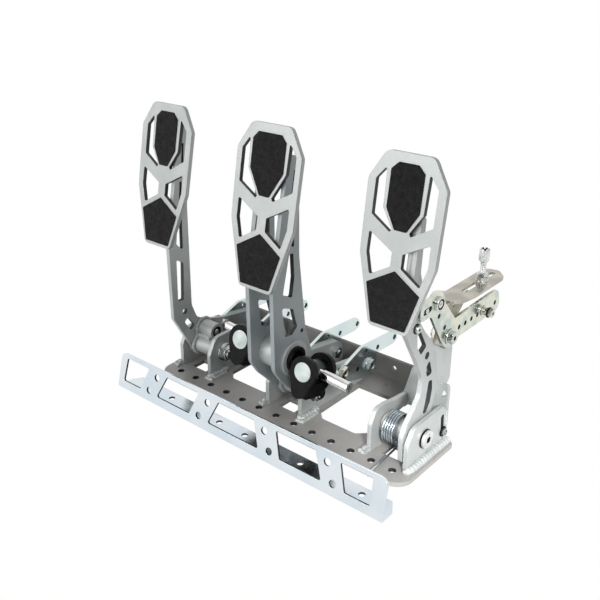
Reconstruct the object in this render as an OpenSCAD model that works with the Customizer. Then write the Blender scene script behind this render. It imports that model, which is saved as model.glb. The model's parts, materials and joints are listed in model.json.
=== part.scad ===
// Floor mounted set of three pedals: clutch, brake with balance bar, and cable throttle.
// X runs along the base to the right, Y away from the driver, Z up.
// The origin is the middle hole of the front row, on the underside of the base plate.

/* [Base] */
// Width of the base plate
base_w = 344; // [330:1:380]
// Thickness of the base plate
base_t = 5; // [4:0.5:6]
// Distance from the hole row to the front edge
front_d = 17; // [14:1:24]
// Distance from the hole row to the rear of the front strip
strip_d = 27; // [24:1:30]
// Depth of the clutch and brake legs behind the hole row
leg_d = 110; // [105:1:120]
// Depth of the throttle leg behind the hole row
throttle_leg_d = 78; // [76:1:84]
// Half width of a leg
leg_half = 34; // [31:1:36]
// Radius of the front corners
corner_r = 18; // [8:1:24]
// Number of holes in the front row
hole_count = 13; // [11:2:13]
// Pitch of the front holes
hole_pitch = 25; // [20:1:26]
// Diameter of the front holes
hole_d = 8; // [5:0.5:10]
// Width of the slot under each pedal
pedal_slot_w = 22; // [14:1:30]

/* [Rear beam] */
// Depth of the lying leg of the beam
beam_d = 38; // [34:1:46]
// Height of the standing leg of the beam
beam_h = 31; // [24:1:34]
// Sheet thickness of the beam
beam_t = 4; // [3:0.5:5]
// Length of the beam past the middle, towards the throttle
beam_right = 92; // [70:1:94]

/* [Bays] */
// Pitch of the three pedal bays
bay_pitch = 137.5; // [134:0.5:142]
// Clear width between the walls of a bay
bay_w = 41; // [39:0.5:44]
// Thickness of the walls
wall_t = 5; // [4:0.5:6]
// Height of the walls over the pivot
wall_h = 52; // [50:1:56]

/* [Pivots] */
// Distance of the pivot axis behind the hole row
pivot_y = 35; // [33:1:38]
// Height of the pivot axis
pivot_z = 29; // [27:0.5:32]
// Diameter of the pivot bolts
bolt_d = 12; // [8:0.5:12]
// Outer diameter of the bushes
bush_d = 16; // [15:0.5:18]
// Outer diameter of the pivot tubes
tube_d = 23; // [20:0.5:24]
// Diameter of the throttle bolt's round head
round_head_d = 20; // [18:0.5:24]

/* [Arms] */
// Thickness of the arm plates
arm_t = 5; // [4:0.5:6]
// Radius of the arm around its pivot
boss_r = 14.5; // [13:0.5:16]
// Play between an arm and the wall beside it
side_play = 1.5; // [1.5:0.1:2]
// Gap between the two brake plates and the walls
brake_play = 2; // [1.5:0.25:3]

/* [Pads] */
// Thickness of the pad plates
pad_t = 5; // [4:0.5:6]
// Thickness of the grip tape
grip_t = 0.9; // [0.6:0.1:1.5]
// Size of the clutch pad
clutch_pad_size = 1; // [0.95:0.01:1.05]
// Size of the brake pad
brake_pad_size = 1.035; // [1:0.005:1.05]
// Size of the throttle pad
throttle_pad_size = 1.02; // [0.97:0.01:1.05]
// Lean of the clutch pad
clutch_lean = 11.7; // [10:0.1:13]
// Lean of the brake pad
brake_lean = 10.7; // [9:0.1:12]
// Lean of the throttle pad
throttle_lean = 8.5; // [7:0.1:10]

/* [Balance bar] */
// Diameter of the bar
bar_d = 9.5; // [8:0.5:10]
// Tilt of the bar as it hangs, right end low
bar_tilt = 5.3; // [0:0.1:6]
// Length of the bar to the left of its bearing
bar_left = 76; // [70:1:84]
// Length of the bar to the right of its bearing
bar_right = 87; // [84:1:100]
// Outer diameter of the balance tube
balance_tube_d = 34; // [32:0.5:36]
// Bore of the balance tube
balance_bore_d = 27; // [26:0.5:28]
// Diameter of the bearing ball
ball_d = 21; // [20:0.5:22]
// Distance of the right clevis from the bearing
clevis_right = 45.6; // [45:0.1:50]
// Distance of the left clevis from the bearing
clevis_left = 40.5; // [40:0.1:46]
// Diameter of the cross trunnions
trunnion_d = 20; // [18:0.5:21]
// Length of the cross trunnions
trunnion_l = 37; // [35:0.5:40]
// Thickness of the clevis cheeks
cheek_t = 5; // [4:0.5:6]
// Radius of a cheek around the trunnion
cheek_r = 16; // [14:0.5:16.5]
// Drop of the clevis below the trunnion
clevis_drop = 29; // [26:0.5:34]
// Tilt of the hanging clevises towards the driver
clevis_tilt = 15; // [0:1:20]
// Diameter of the adjuster sleeve
sleeve_d = 11.5; // [11:0.5:12]
// Diameter of the pushrod threads in the clevises
pushrod_d = 8; // [6:0.5:9]

/* [Cylinder brackets] */
// Thickness of the brackets
bracket_t = 4; // [3:0.5:5]
// Distance of the pin holes behind the hole row
pin_y = 179.7; // [176:0.1:186]
// Height of the pin holes
pin_z = 38.5; // [38:0.1:41]
// Diameter of the pin holes
pin_d = 6.5; // [5:0.5:8]
// Diameter of the bracket bolts
bracket_bolt_d = 8; // [6:0.5:8]

/* [Throttle linkage] */
// Distance of the lever pivot behind the hole row
lever_y = 70; // [69:0.5:72]
// Height of the lever pivot
lever_z = 126; // [125:0.5:128]
// Length of the lever from its pivot to its rear end hole
lever_l = 90; // [88:1:96]
// Thickness of the linkage plates
link_t = 3; // [2.5:0.5:3.5]
// Height of the top of the cable bracket
bracket_top = 157; // [155:0.5:162]
// Width of the top of the cable bracket
bracket_w = 27; // [24:1:28]
// Diameter of the adjuster thread
adjuster_d = 6; // [5:0.5:7]
// Pitch of the lever holes
lever_pitch = 12; // [10:0.5:12.5]

/* [Return spring] */
// Wire diameter of the return spring
wire_d = 2.2; // [1.8:0.1:2.3]
// Pitch of the spring turns
spring_pitch = 2.8; // [2.8:0.05:3]
// Turns of the spring
spring_turns = 5; // [4:1:5]
// Mean radius of the turns
spring_r = 16.5; // [15:0.25:17]

/* [Heel rail] */
// Length of the heel rail
rail_l = 366; // [340:1:380]
// Sheet thickness of the rail
rail_t = 2.5; // [2:0.5:3]
// Depth of the lying flange
rail_d = 32; // [30:1:38]
// Height of the standing face
rail_h = 44; // [43:1:50]
// Lean of the standing face
rail_lean = 15; // [8:1:18]
// Distance of the rail's front edge before the hole row
rail_front = 68; // [64:1:74]

/* [Hidden] */
$fn = 48;
fit = 0.03;           // radial running clearance of shafts in bores
slip = 0.25;          // radial clearance of bolts in plain holes
gap = 0.3;            // clearance between pieces that move past each other
half_bay = bay_w / 2;
clutch_x = -bay_pitch;
brake_x = 0;
throttle_x = bay_pitch;
pivot = [pivot_y, pivot_z];
washer_t = 1.5;
beam_y = leg_d;
flange_y = leg_d + beam_d - beam_t;
bracket_face = half_bay + wall_t;
nut_t = 6;
nut_d = 15;
pivot_nut_t = 7;
pivot_nut_d = 20;
pivot_end = 2;
bulkhead_t = 4;
bulkhead_y = throttle_leg_d - bulkhead_t;
clutch_arm_x = clutch_x - half_bay + side_play + arm_t / 2;
throttle_arm_x = throttle_x + half_bay - side_play - arm_t / 2;
brake_arm_off = half_bay - brake_play - arm_t / 2;
clutch_pad_at = [clutch_arm_x - 12, 1.8, 214.2];
brake_pad_at = [brake_x - 2, -17, 215.6];
throttle_pad_at = [throttle_x + 1.9, 2.2, 209.1];
tube_at = [7, 79];                    // balance tube axis, as Y and Z
bar_at = [brake_x, tube_at[0], tube_at[1]];
tube_end = brake_arm_off + arm_t / 2; // outer faces of the brake plates
collar_w = 3;
collar_d = balance_tube_d + 4;
lever_x = throttle_x + half_bay + gap + link_t / 2;
link_x = lever_x + link_t + gap;
lever = [lever_y, lever_z];
link_rear = [38, 173];                // pin between link and lever
link_front = [19.5, 172];             // pin on the throttle arm
link_pin_d = 5;
row_y = lever_y + 17.5;               // first hole of the lever's row
row_z = lever_z + 3.5;
clamp_at = [row_y + 4 * lever_pitch, row_z];
adjuster_at = [throttle_x + 13.5, lever_y + 76.5];
spring_x = throttle_x - half_bay + wire_d / 2 + 4;
spring_drop = spring_r * cos(22.5) - wire_d / 2 - tube_d / 2 - gap;   // the coil hangs on the tube

// Points of a closed outline whose corners, given as [x, y, radius], are rounded by short chords
function unit(v) = v / norm(v);
function corner(a, b, c, r) =
    r <= 0 ? [b] :
    let (u = unit(a - b), w = unit(c - b),
         half = acos(u * w) / 2,
         m = b + unit(u + w) * r / sin(half),
         s = b + u * r / tan(half) - m,
         e = b + w * r / tan(half) - m,
         start = atan2(s[1], s[0]),
         raw = atan2(e[1], e[0]) - start,
         turn = raw > 180 ? raw - 360 : raw < -180 ? raw + 360 : raw,
         n = max(2, ceil(abs(turn) / 22)))
    [for (k = [0:n]) m + r * [cos(start + turn * k / n), sin(start + turn * k / n)]];
function flat2(p) = [p[0], p[1]];
function rounded(p) = let (n = len(p))
    [for (i = [0:n - 1])
        each corner(flat2(p[(i + n - 1) % n]), flat2(p[i]), flat2(p[(i + 1) % n]), p[i][2])];
function arc(c, r, a0, a1, n) =
    [for (k = [0:n]) let (a = a0 + (a1 - a0) * k / n) [c[0] + r * cos(a), c[1] + r * sin(a)]];
function mirrored(p) = [for (q = p) [-q[0], q[1], q[2]]];

module outline(p) { polygon(rounded(p)); }
// A plate square to X, from an outline in Y and Z, centred on x
module side_plate(x, t) { translate([x - t / 2, 0, 0]) rotate([90, 0, 90]) linear_extrude(t) children(); }
// A round bar along X between two places, about a point in Y and Z
module x_rod(x0, x1, at, d) {
    translate([x0, at[0], at[1]]) rotate([0, 90, 0]) cylinder(d = d, h = x1 - x0);
}
module x_hex(x0, x1, at, d) {
    translate([x0, at[0], at[1]]) rotate([0, 90, 0]) cylinder(d = d, h = x1 - x0, $fn = 6);
}
module on_bar() { translate(bar_at) rotate([0, bar_tilt, 0]) children(); }

// Base plate, a comb with a strip in front and a leg under each pedal
notch = 12;
module base_outline() {
    cl = clutch_x + leg_half + 1;
    th = throttle_x - leg_half - 6;
    outline([
        [-base_w / 2, -front_d, corner_r], [base_w / 2, -front_d, corner_r],
        [base_w / 2, throttle_leg_d, 4], [th, throttle_leg_d, 4],
        [th, strip_d + notch, 6], [th - notch, strip_d, 6],
        [leg_half - 4 + notch, strip_d, 6], [leg_half - 4, strip_d + notch, 6],
        [leg_half - 4, leg_d, 0], [4 - leg_half, leg_d, 0],
        [4 - leg_half, strip_d + notch, 6], [4 - leg_half - notch, strip_d, 6],
        [cl + notch, strip_d, 6], [cl, strip_d + notch, 6],
        [cl, leg_d, 0], [-base_w / 2, leg_d, 0]]);
}
module base_plate() {
    color("silver") difference() {
        linear_extrude(base_t) base_outline();
        for (i = [0:hole_count - 1])
            translate([(i - (hole_count - 1) / 2) * hole_pitch, 0, -1])
                cylinder(d = hole_d, h = base_t + 2);
        for (x = [clutch_x, brake_x, throttle_x])
            translate([x - pedal_slot_w / 2, 17, -1]) cube([pedal_slot_w, 19, base_t + 2]);
    }
}

// Angle beam behind the clutch and brake legs
module rear_beam() {
    color("dimgray") difference() {
        union() {
            translate([-base_w / 2, beam_y, 0]) cube([base_w / 2 + beam_right, beam_d, base_t]);
            translate([-base_w / 2, flange_y, 0]) cube([base_w / 2 + beam_right, beam_t, beam_h]);
        }
        for (x = [clutch_x, brake_x])
            translate([x - half_bay + 3, beam_y + 5, -1]) cube([bay_w - 6, beam_d - 14, base_t + 2]);
        for (x = [-84, 53, 79]) {
            translate([x, beam_y + beam_d / 2 - 1, -1]) cylinder(d = 6, h = base_t + 2);
            translate([x + 1, flange_y - 1, 20]) rotate([-90, 0, 0]) cylinder(d = 6, h = beam_t + 2);
        }
    }
}

// Side walls of the clutch and brake bays
bolt_spots = [[78.3, 34.9], [beam_y + 19.6, 22.3]];
module wall(x) {
    color("silver") side_plate(x, wall_t) difference() {
        outline([[12, base_t, 0], [12, pivot_z + 3, 8], [23, wall_h, 10], [50, wall_h, 10],
                 [80, 43.5, 20], [flange_y - 8, 34, 6], [flange_y, 26, 0], [flange_y, base_t, 0]]);
        translate(pivot) circle(d = bolt_d + 2 * slip);
        for (p = bolt_spots) translate(p) circle(d = bracket_bolt_d + 2 * slip);
    }
}
module clutch_wall_left() { wall(clutch_x - half_bay - wall_t / 2); }
module clutch_wall_right() { wall(clutch_x + half_bay + wall_t / 2); }
module brake_wall_left() { wall(brake_x - half_bay - wall_t / 2); }
module brake_wall_right() { wall(brake_x + half_bay + wall_t / 2); }

// Walls of the throttle bay. The left one is cut away behind the spring, and the right one has
// the slot of the stop bolt.
bay_left = throttle_x - half_bay - wall_t;
bay_right = throttle_x + half_bay + wall_t;
side_seat_z = 31;     // foot of the bulkhead where it hangs on the left wall
module throttle_wall_left() {
    color("silver") side_plate(bay_left + wall_t / 2, wall_t) difference() {
        outline([[10, base_t, 0], [10, pivot_z + 7, 8], [19, wall_h - 1, 8], [33, wall_h - 1, 12],
                 [56, wall_h - 5.5, 12], [bulkhead_y, wall_h - 7.3, 0], [bulkhead_y, side_seat_z, 0],
                 [56, side_seat_z - 1, 5], [51, base_t, 0]]);
        translate(pivot) circle(d = bolt_d + 2 * slip);
    }
}
module throttle_wall_right() {
    color("silver") side_plate(bay_right - wall_t / 2, wall_t) difference() {
        outline([[5, base_t, 0], [5, pivot_z + 5, 10], [15, wall_h - 2.5, 10],
                 [bulkhead_y - 6, wall_h - 2.5, 6], [bulkhead_y, wall_h - 9, 0], [bulkhead_y, base_t, 0]]);
        translate(pivot) circle(d = bolt_d + 2 * slip);
        outline([[bulkhead_y - 8, 16, 2.7], [bulkhead_y - 2, 16, 2.7],
                 [bulkhead_y - 4, 40, 2.7], [bulkhead_y - 10, 40, 2.7]]);
    }
}

// Plate behind the throttle, with a ribbed tongue that carries the lever and the cable bracket
tongue_left = throttle_x + 2.5;
tongue_right = throttle_x + 16.8;
tongue_top = lever_z - 17;
tongue_rib_t = 3;
bulkhead_top = wall_h + 17.6;
module throttle_bulkhead() {
    rear = bulkhead_y + bulkhead_t;
    color("silver") {
        translate([0, rear, 0]) rotate([90, 0, 0]) linear_extrude(bulkhead_t) difference() {
            outline([[tongue_left, base_t, 0], [bay_right, base_t, 0], [bay_right, bulkhead_top, 3],
                     [tongue_right, bulkhead_top, 1], [tongue_right, tongue_top, 2],
                     [tongue_left, tongue_top, 2], [tongue_left, bulkhead_top + 20, 8],
                     [bay_left + 8.4, bulkhead_top + 7, 6], [bay_left, wall_h - 7.3, 0],
                     [bay_left, side_seat_z, 0], [tongue_left, side_seat_z, 4]]);
            outline([[bay_right - 9.3, wall_h + 1, 1], [bay_right - 5.4, wall_h + 13, 1],
                     [bay_right - 1, wall_h + 7.5, 1]]);
        }
        side_plate(tongue_right - tongue_rib_t / 2, tongue_rib_t)
            outline([[rear - 0.1, wall_h + 10, 0], [rear + 6, wall_h + 11, 3], [rear + 13, wall_h + 18, 6],
                     [rear + 12.5, tongue_top, 4], [rear - 0.1, tongue_top - 1, 0]]);
    }
}

// Zinc plated brackets that carry the rear pins of the master cylinders
module bracket(x) {
    color("lightsteelblue") side_plate(x, bracket_t) difference() {
        outline([[71, 36, 4], [114, 51, 4], [pin_y + 2, pin_z + 8, 7.9], [pin_y + 7.5, pin_z - 5, 5],
                 [pin_y - 4, pin_z - 7.8, 3], [flange_y + beam_t + 2, beam_h + 1, 2],
                 [flange_y - 1, beam_h + 1, 0], [flange_y - 1, base_t + 4, 3],
                 [beam_y + 16, base_t + 1.5, 4], [beam_y - 18, 17, 4], [73, 27, 4]]);
        for (p = bolt_spots) translate(p) circle(d = bracket_bolt_d + 2 * slip);
        translate([pin_y, pin_z]) circle(d = pin_d);
        for (p = [[beam_y + 11.7, 43], [beam_y + 35, 39], [beam_y - 3.4, 26]]) translate(p) circle(d = 6);
    }
}
module clutch_bracket_left() { bracket(clutch_x - bracket_face - bracket_t / 2); }
module clutch_bracket_right() { bracket(clutch_x + bracket_face + bracket_t / 2); }
module brake_bracket_left() { bracket(brake_x - bracket_face - bracket_t / 2); }
module brake_bracket_right() { bracket(brake_x + bracket_face + bracket_t / 2); }

module each_bracket_bolt() {
    for (x = [clutch_x, brake_x]) for (side = [-1, 1]) for (p = bolt_spots)
        translate([x, p[0], p[1]]) scale_x(side) children();
}
// Turns a piece made for the right side round to the left side
module scale_x(side) { rotate([0, 0, side > 0 ? 0 : 180]) children(); }
bracket_out = bracket_face + bracket_t;
module bracket_bolts() {
    color("gainsboro") each_bracket_bolt() {
        difference() {
            x_hex(bracket_out, bracket_out + nut_t - 1, [0, 0], nut_d);
            x_rod(bracket_out + nut_t - 2, bracket_out + nut_t, [0, 0], bracket_bolt_d - 1);
        }
        x_rod(half_bay - nut_t - 1, bracket_out + 0.1, [0, 0], bracket_bolt_d);
    }
}
module bracket_nuts() {
    color("gainsboro") each_bracket_bolt() difference() {
        x_hex(half_bay - nut_t, half_bay, [0, 0], nut_d);
        x_rod(half_bay - nut_t - 1, half_bay + 1, [0, 0], bracket_bolt_d + 2 * fit);
    }
}

// Pivot bolts: hexagon heads on the clutch and brake, a large round head on the throttle
module pivot_bolt(x) {
    out = half_bay + wall_t;
    color("gainsboro") {
        x_hex(x - out - 7, x - out, pivot, pivot_nut_d);
        x_rod(x - out - 0.1, x + out + washer_t + pivot_nut_t + pivot_end, pivot, bolt_d);
    }
}
module clutch_pivot_bolt() { pivot_bolt(clutch_x); }
module brake_pivot_bolt() { pivot_bolt(brake_x); }
module throttle_pivot_bolt() {
    out = half_bay + wall_t;
    color("gainsboro") difference() {
        union() {
            x_rod(throttle_x + out, throttle_x + out + 4.5, pivot, round_head_d);
            x_rod(throttle_x - out - washer_t - pivot_nut_t - pivot_end, throttle_x + out + 0.1,
                  pivot, bolt_d);
        }
        x_hex(throttle_x + out + 1, throttle_x + out + 6, pivot, 7);
    }
}
module pivot_nut(face, side) {
    translate([face, pivot_y, pivot_z]) scale_x(side) difference() {
        union() {
            x_rod(0, washer_t, [0, 0], pivot_nut_d + 2);
            x_hex(washer_t, washer_t + pivot_nut_t, [0, 0], pivot_nut_d);
        }
        x_rod(-1, washer_t + pivot_nut_t + 1, [0, 0], bolt_d + 2 * fit);
    }
}
module pivot_nuts() {
    color("gainsboro") {
        pivot_nut(clutch_x + half_bay + wall_t, 1);
        pivot_nut(brake_x + half_bay + wall_t, 1);
        pivot_nut(throttle_x - half_bay - wall_t, -1);
    }
}

// A tube along X with a bore for the bushes
module pivot_tube(x0, x1) {
    color("silver") difference() {
        x_rod(x0, x1, pivot, tube_d);
        x_rod(x0 - 1, x1 + 1, pivot, bush_d);
    }
}
// Two flanged bushes, one in each end of a bore that runs from x0 to x1
flange_t = 1.2;
bush_l = 14;
module bushes(x0, x1) {
    color("darkgoldenrod") for (end = [[x0, 1], [x1, -1]])
        translate([end[0], pivot_y, pivot_z]) scale_x(end[1]) difference() {
            union() {
                x_rod(0, bush_l, [0, 0], bush_d - 2 * fit);
                x_rod(-flange_t, 0, [0, 0], bush_d + 4);
            }
            x_rod(-flange_t - 1, bush_l + 1, [0, 0], bolt_d + 2 * fit);
        }
}
inner_end = half_bay - gap - flange_t;  // end of the bored length next to a wall

// Pads: a windowed plate in its own plane, and two pieces of grip tape on its face.
// The plane's origin is the top corner of the lower tape.
module on_pad(at, lean) { translate(at) rotate([90 - lean, 0, 0]) children(); }
function pad_edge(s) = [
    [-20 * s, -53.9 * s, 6], [20 * s, -53.9 * s, 6], [38.2 * s, 9.6 * s, 12], [38.6 * s, 75.2 * s, 6],
    [23 * s, 100.3 * s, 8], [-23 * s, 100.3 * s, 8], [-38.6 * s, 75.2 * s, 6], [-38.2 * s, 9.6 * s, 12]];
// Upper side window, between the rim, the upper tape and the web
function upper_window(s, tape) = let (w = tape[4], o = tape[5])
    [[(w + 1) * s, 86.5 * s, 1], [o * s, 75 * s, 1.5], [o * s, 44 * s, 1.5], [10.5 * s, 32 * s, 1],
     [8.7 * s, 34.5 * s, 1], [w * s, (tape[3] - 0.5) * s, 1.5]];
// Lower side window, between the rim, the web and the lower tape
function lower_window(s) = [
    [5.4 * s, 3 * s, 1], [25.7 * s, -9 * s, 1.5], [31.2 * s, 10 * s, 3], [31 * s, 29.6 * s, 1.5],
    [5.4 * s, 15.7 * s, 1]];
function lower_tape(s) = [
    [0, 0, 0.5], [27 * s, -15.8 * s, 1], [17.7 * s, -50.4 * s, 1],
    [-17.7 * s, -50.4 * s, 1], [-27 * s, -15.8 * s, 1]];
function upper_tape(s, tape) = let (top = tape[0], w = tape[1], foot = tape[2], knee = tape[3]) [
    [top * s, 92 * s, 1], [w * s, 85.7 * s, 1], [w * s, knee * s, 2], [foot * s, 35 * s, 1],
    [-foot * s, 35 * s, 1], [-w * s, knee * s, 2], [-w * s, 85.7 * s, 1], [-top * s, 92 * s, 1]];
// Half widths of the upper tape at its top, sides and foot, height of its lower side corners,
// and half widths of the inner and outer sides of the windows beside it
narrow_tape = [9.4, 16.3, 5.9, 52.5, 20, 30.7];
wide_tape = [13.6, 19.6, 5.6, 58.5, 22.7, 32.4];
module pad(at, lean, s, tape) {
    color("lightgray") on_pad(at, lean) translate([0, 0, -pad_t]) linear_extrude(pad_t) difference() {
        outline(pad_edge(s));
        outline(upper_window(s, tape));
        outline(mirrored(upper_window(s, tape)));
        outline(lower_window(s));
        outline(mirrored(lower_window(s)));
    }
}
module grip_tape(at, lean, s, tape) {
    color("#222222") on_pad(at, lean) linear_extrude(grip_t) {
        outline(lower_tape(s));
        outline(upper_tape(s, tape));
    }
}
module clutch_pad() { pad(clutch_pad_at, clutch_lean, clutch_pad_size, narrow_tape); }
module clutch_grip_tape() { grip_tape(clutch_pad_at, clutch_lean, clutch_pad_size, narrow_tape); }
module brake_pad() { pad(brake_pad_at, brake_lean, brake_pad_size, wide_tape); }
module brake_grip_tape() { grip_tape(brake_pad_at, brake_lean, brake_pad_size, wide_tape); }
module throttle_pad() { pad(throttle_pad_at, throttle_lean, throttle_pad_size, narrow_tape); }
module throttle_grip_tape() {
    grip_tape(throttle_pad_at, throttle_lean, throttle_pad_size, narrow_tape);
}
// Point in Y and Z on the back face of a pad, at a distance v up its plane
function pad_back(at, lean, v) =
    [at[1] + v * sin(lean) + pad_t * cos(lean), at[2] + v * cos(lean) - pad_t * sin(lean)];
// A corner with a radius, from a point
function with_r(p, r) = [p[0], p[1], r];

// Clutch arm: one slotted plate beside the left wall
module clutch_arm() {
    back = clutch_pad_at;
    top = pad_back(back, clutch_lean, 82 * clutch_pad_size);
    foot = pad_back(back, clutch_lean, -53 * clutch_pad_size);
    color("silver") side_plate(clutch_arm_x, arm_t) difference() {
        union() {
            outline([with_r(top, 1), with_r(foot, 0), [foot[0], 73, 8],
                     [pivot_y - boss_r * 0.8, pivot_z - boss_r * 0.4, 0],
                     [pivot_y, pivot_z - boss_r * 0.8, 0],
                     [pivot_y + boss_r * 0.9, pivot_z + 2, 0], [48, 54, 8], [31, 64, 8], [24, 82, 16],
                     [26, 202, 60],
                     [top[0] + 11, top[1] - 4, 4]]);
            translate(pivot) circle(r = boss_r);
        }
        translate(pivot) circle(d = bush_d);
        outline([[5.5, 144, 1.5], [3.9, 92.5, 1.5], [12.5, 92.5, 1.5], [15.4, 137, 1.5]]);
        outline([[7, 162, 1.5], [15.8, 152, 1.5], [17.4, 198, 1.5], [11.5, 191, 1.5]]);
        outline([[14, 205, 1], [18.5, 208, 1], [20.5, 230, 1], [17.5, 232, 1]]);
        outline([[20, 241, 1], [23.5, 243, 1], [26.5, 272, 1], [24, 272, 1]]);
        translate([13, 77.5]) circle(d = 7);
        outline([[11.5, 64, 2], [17.5, 68.5, 2], [27, 54.5, 2], [20.5, 50, 2]]);
    }
}
// A second, shorter tube is welded over the clutch's pivot tube
upper_tube_d = 20;
upper_tube_l = 23.5;
upper_tube_at = [pivot_y + 5, pivot_z + 19];
module clutch_pivot_tube() {
    x0 = clutch_arm_x + arm_t / 2;
    x1 = clutch_x + inner_end;
    color("silver") difference() {
        union() {
            x_rod(x0, x1, pivot, tube_d);
            x_rod(x0, x0 + upper_tube_l, upper_tube_at, upper_tube_d);
        }
        x_rod(x0 - 1, x1 + 1, pivot, bush_d);
        x_rod(x0 + upper_tube_l - 12, x0 + upper_tube_l + 1, upper_tube_at, upper_tube_d - 7);
    }
}
module clutch_bushes() { bushes(clutch_arm_x - arm_t / 2, clutch_x + inner_end); }

// Brake arms: two plates, with the balance tube through both
tube_hole_d = balance_tube_d + 2 * fit;
module brake_arm(x) {
    top = pad_back(brake_pad_at, brake_lean, 76 * brake_pad_size);
    foot = pad_back(brake_pad_at, brake_lean, -53 * brake_pad_size);
    color("silver") side_plate(x, arm_t) difference() {
        union() {
            outline([with_r(top, 1), with_r(foot, 0), [foot[0] + 1, 74, 12], [-9, 56, 0],
                     [pivot_y - boss_r * 0.7, pivot_z - boss_r * 0.55, 0],
                     [pivot_y, pivot_z - boss_r * 0.8, 0],
                     [pivot_y + boss_r * 0.9, pivot_z + 2, 0], [39, 70, 12], [27, 104, 20], [17, 189, 60],
                     [17, 236, 30], [top[0] + 12, top[1] - 3, 5]]);
            translate(pivot) circle(r = boss_r);
        }
        translate(pivot) circle(d = bush_d);
        translate(tube_at) circle(d = tube_hole_d);
        outline([[-9.5, 141, 2], [7.5, 134, 2], [13.5, 112, 2], [6, 106, 2], [-5, 107, 2]]);
        outline([[-8, 154, 2], [6, 147, 2], [9.5, 168, 2], [8, 194, 2], [2, 194, 2]]);
        outline([[3, 203, 1], [9, 200, 1], [10, 232, 1], [7.5, 236, 1]]);
        outline([[4.5, 247, 1], [10, 250, 1], [12.5, 276, 1], [9.5, 276, 1]]);
        translate([21, 105]) circle(d = 4.5);
    }
}
module brake_arm_left() { brake_arm(brake_x - brake_arm_off); }
module brake_arm_right() { brake_arm(brake_x + brake_arm_off); }
module brake_pivot_tube() {
    pivot_tube(brake_x - brake_arm_off + arm_t / 2, brake_x + brake_arm_off - arm_t / 2);
}
module brake_bushes() { bushes(brake_x - tube_end, brake_x + tube_end); }
module balance_tube() {
    color("silver") difference() {
        union() {
            x_rod(brake_x - tube_end - collar_w, brake_x + tube_end + collar_w, tube_at, balance_tube_d);
            for (x = [-tube_end - collar_w, tube_end])
                x_rod(brake_x + x, brake_x + x + collar_w, tube_at, collar_d);
        }
        x_rod(brake_x - tube_end - collar_w - 1, brake_x + tube_end + collar_w + 1,
              tube_at, balance_bore_d);
    }
}
// Bearing race, pressed into the middle of the balance tube
race_w = 12;
module balance_race() {
    color("dimgray") difference() {
        x_rod(brake_x - race_w / 2, brake_x + race_w / 2, tube_at, balance_bore_d - 2 * fit);
        translate(bar_at) rotate([0, 90, 0]) sphere(d = ball_d + 4 * fit);
    }
}
// Black rings in the ends of the balance tube
seal_l = 8;
seal_out = 3;
seal_hole_d = 19;
module tube_seals() {
    end = tube_end + collar_w;
    color("#1c1c1c") for (side = [-1, 1])
        translate([brake_x, tube_at[0], tube_at[1]]) scale_x(side) difference() {
            union() {
                x_rod(end - seal_l, end + 0.1, [0, 0], balance_bore_d - 2 * fit);
                x_rod(end, end + (side > 0 ? seal_out : 1), [0, 0], balance_bore_d - 2 * fit);
            }
            x_rod(end - seal_l - 1, end + seal_out + 1, [0, 0], seal_hole_d);
        }
}
// Ball of the bearing, flat at both ends, bored for the bar
ball_w = 15;
module balance_ball() {
    color("gainsboro") on_bar() difference() {
        intersection() {
            rotate([0, 90, 0]) sphere(d = ball_d);
            translate([-ball_w / 2, -ball_d, -ball_d]) cube([ball_w, 2 * ball_d, 2 * ball_d]);
        }
        x_rod(-ball_w, ball_w, [0, 0], bar_d + 2 * fit);
    }
}
module balance_bar() { color("gainsboro") on_bar() x_rod(-bar_left, bar_right, [0, 0], bar_d); }
// Lock nuts that hold the bar along its axis, and one near its left end
lock_nut_t = 5;
left_nut_x = clevis_left + trunnion_d / 2 + 8;
module bar_nuts() {
    color("gainsboro") on_bar() difference() {
        union() {
            for (x = [-ball_w / 2 - gap - lock_nut_t, ball_w / 2 + gap]) x_hex(x, x + lock_nut_t, [0, 0], 15);
            x_hex(-left_nut_x - lock_nut_t, -left_nut_x, [0, 0], 13.5);
        }
        x_rod(-bar_left - 1, bar_right, [0, 0], bar_d + 2 * fit);
    }
}
// Hollow sleeve on the right end, which takes the cable of a remote adjuster
sleeve_x = clevis_right + trunnion_d / 2 + 4;
sleeve_end = 4;
module adjuster_sleeve() {
    color("gainsboro") on_bar() difference() {
        x_rod(sleeve_x, bar_right + sleeve_end, [0, 0], sleeve_d);
        x_rod(sleeve_x - 1, bar_right, [0, 0], bar_d + 2 * fit);
        x_hex(bar_right - 1, bar_right + sleeve_end + 1, [0, 0], 6);
    }
}
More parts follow.
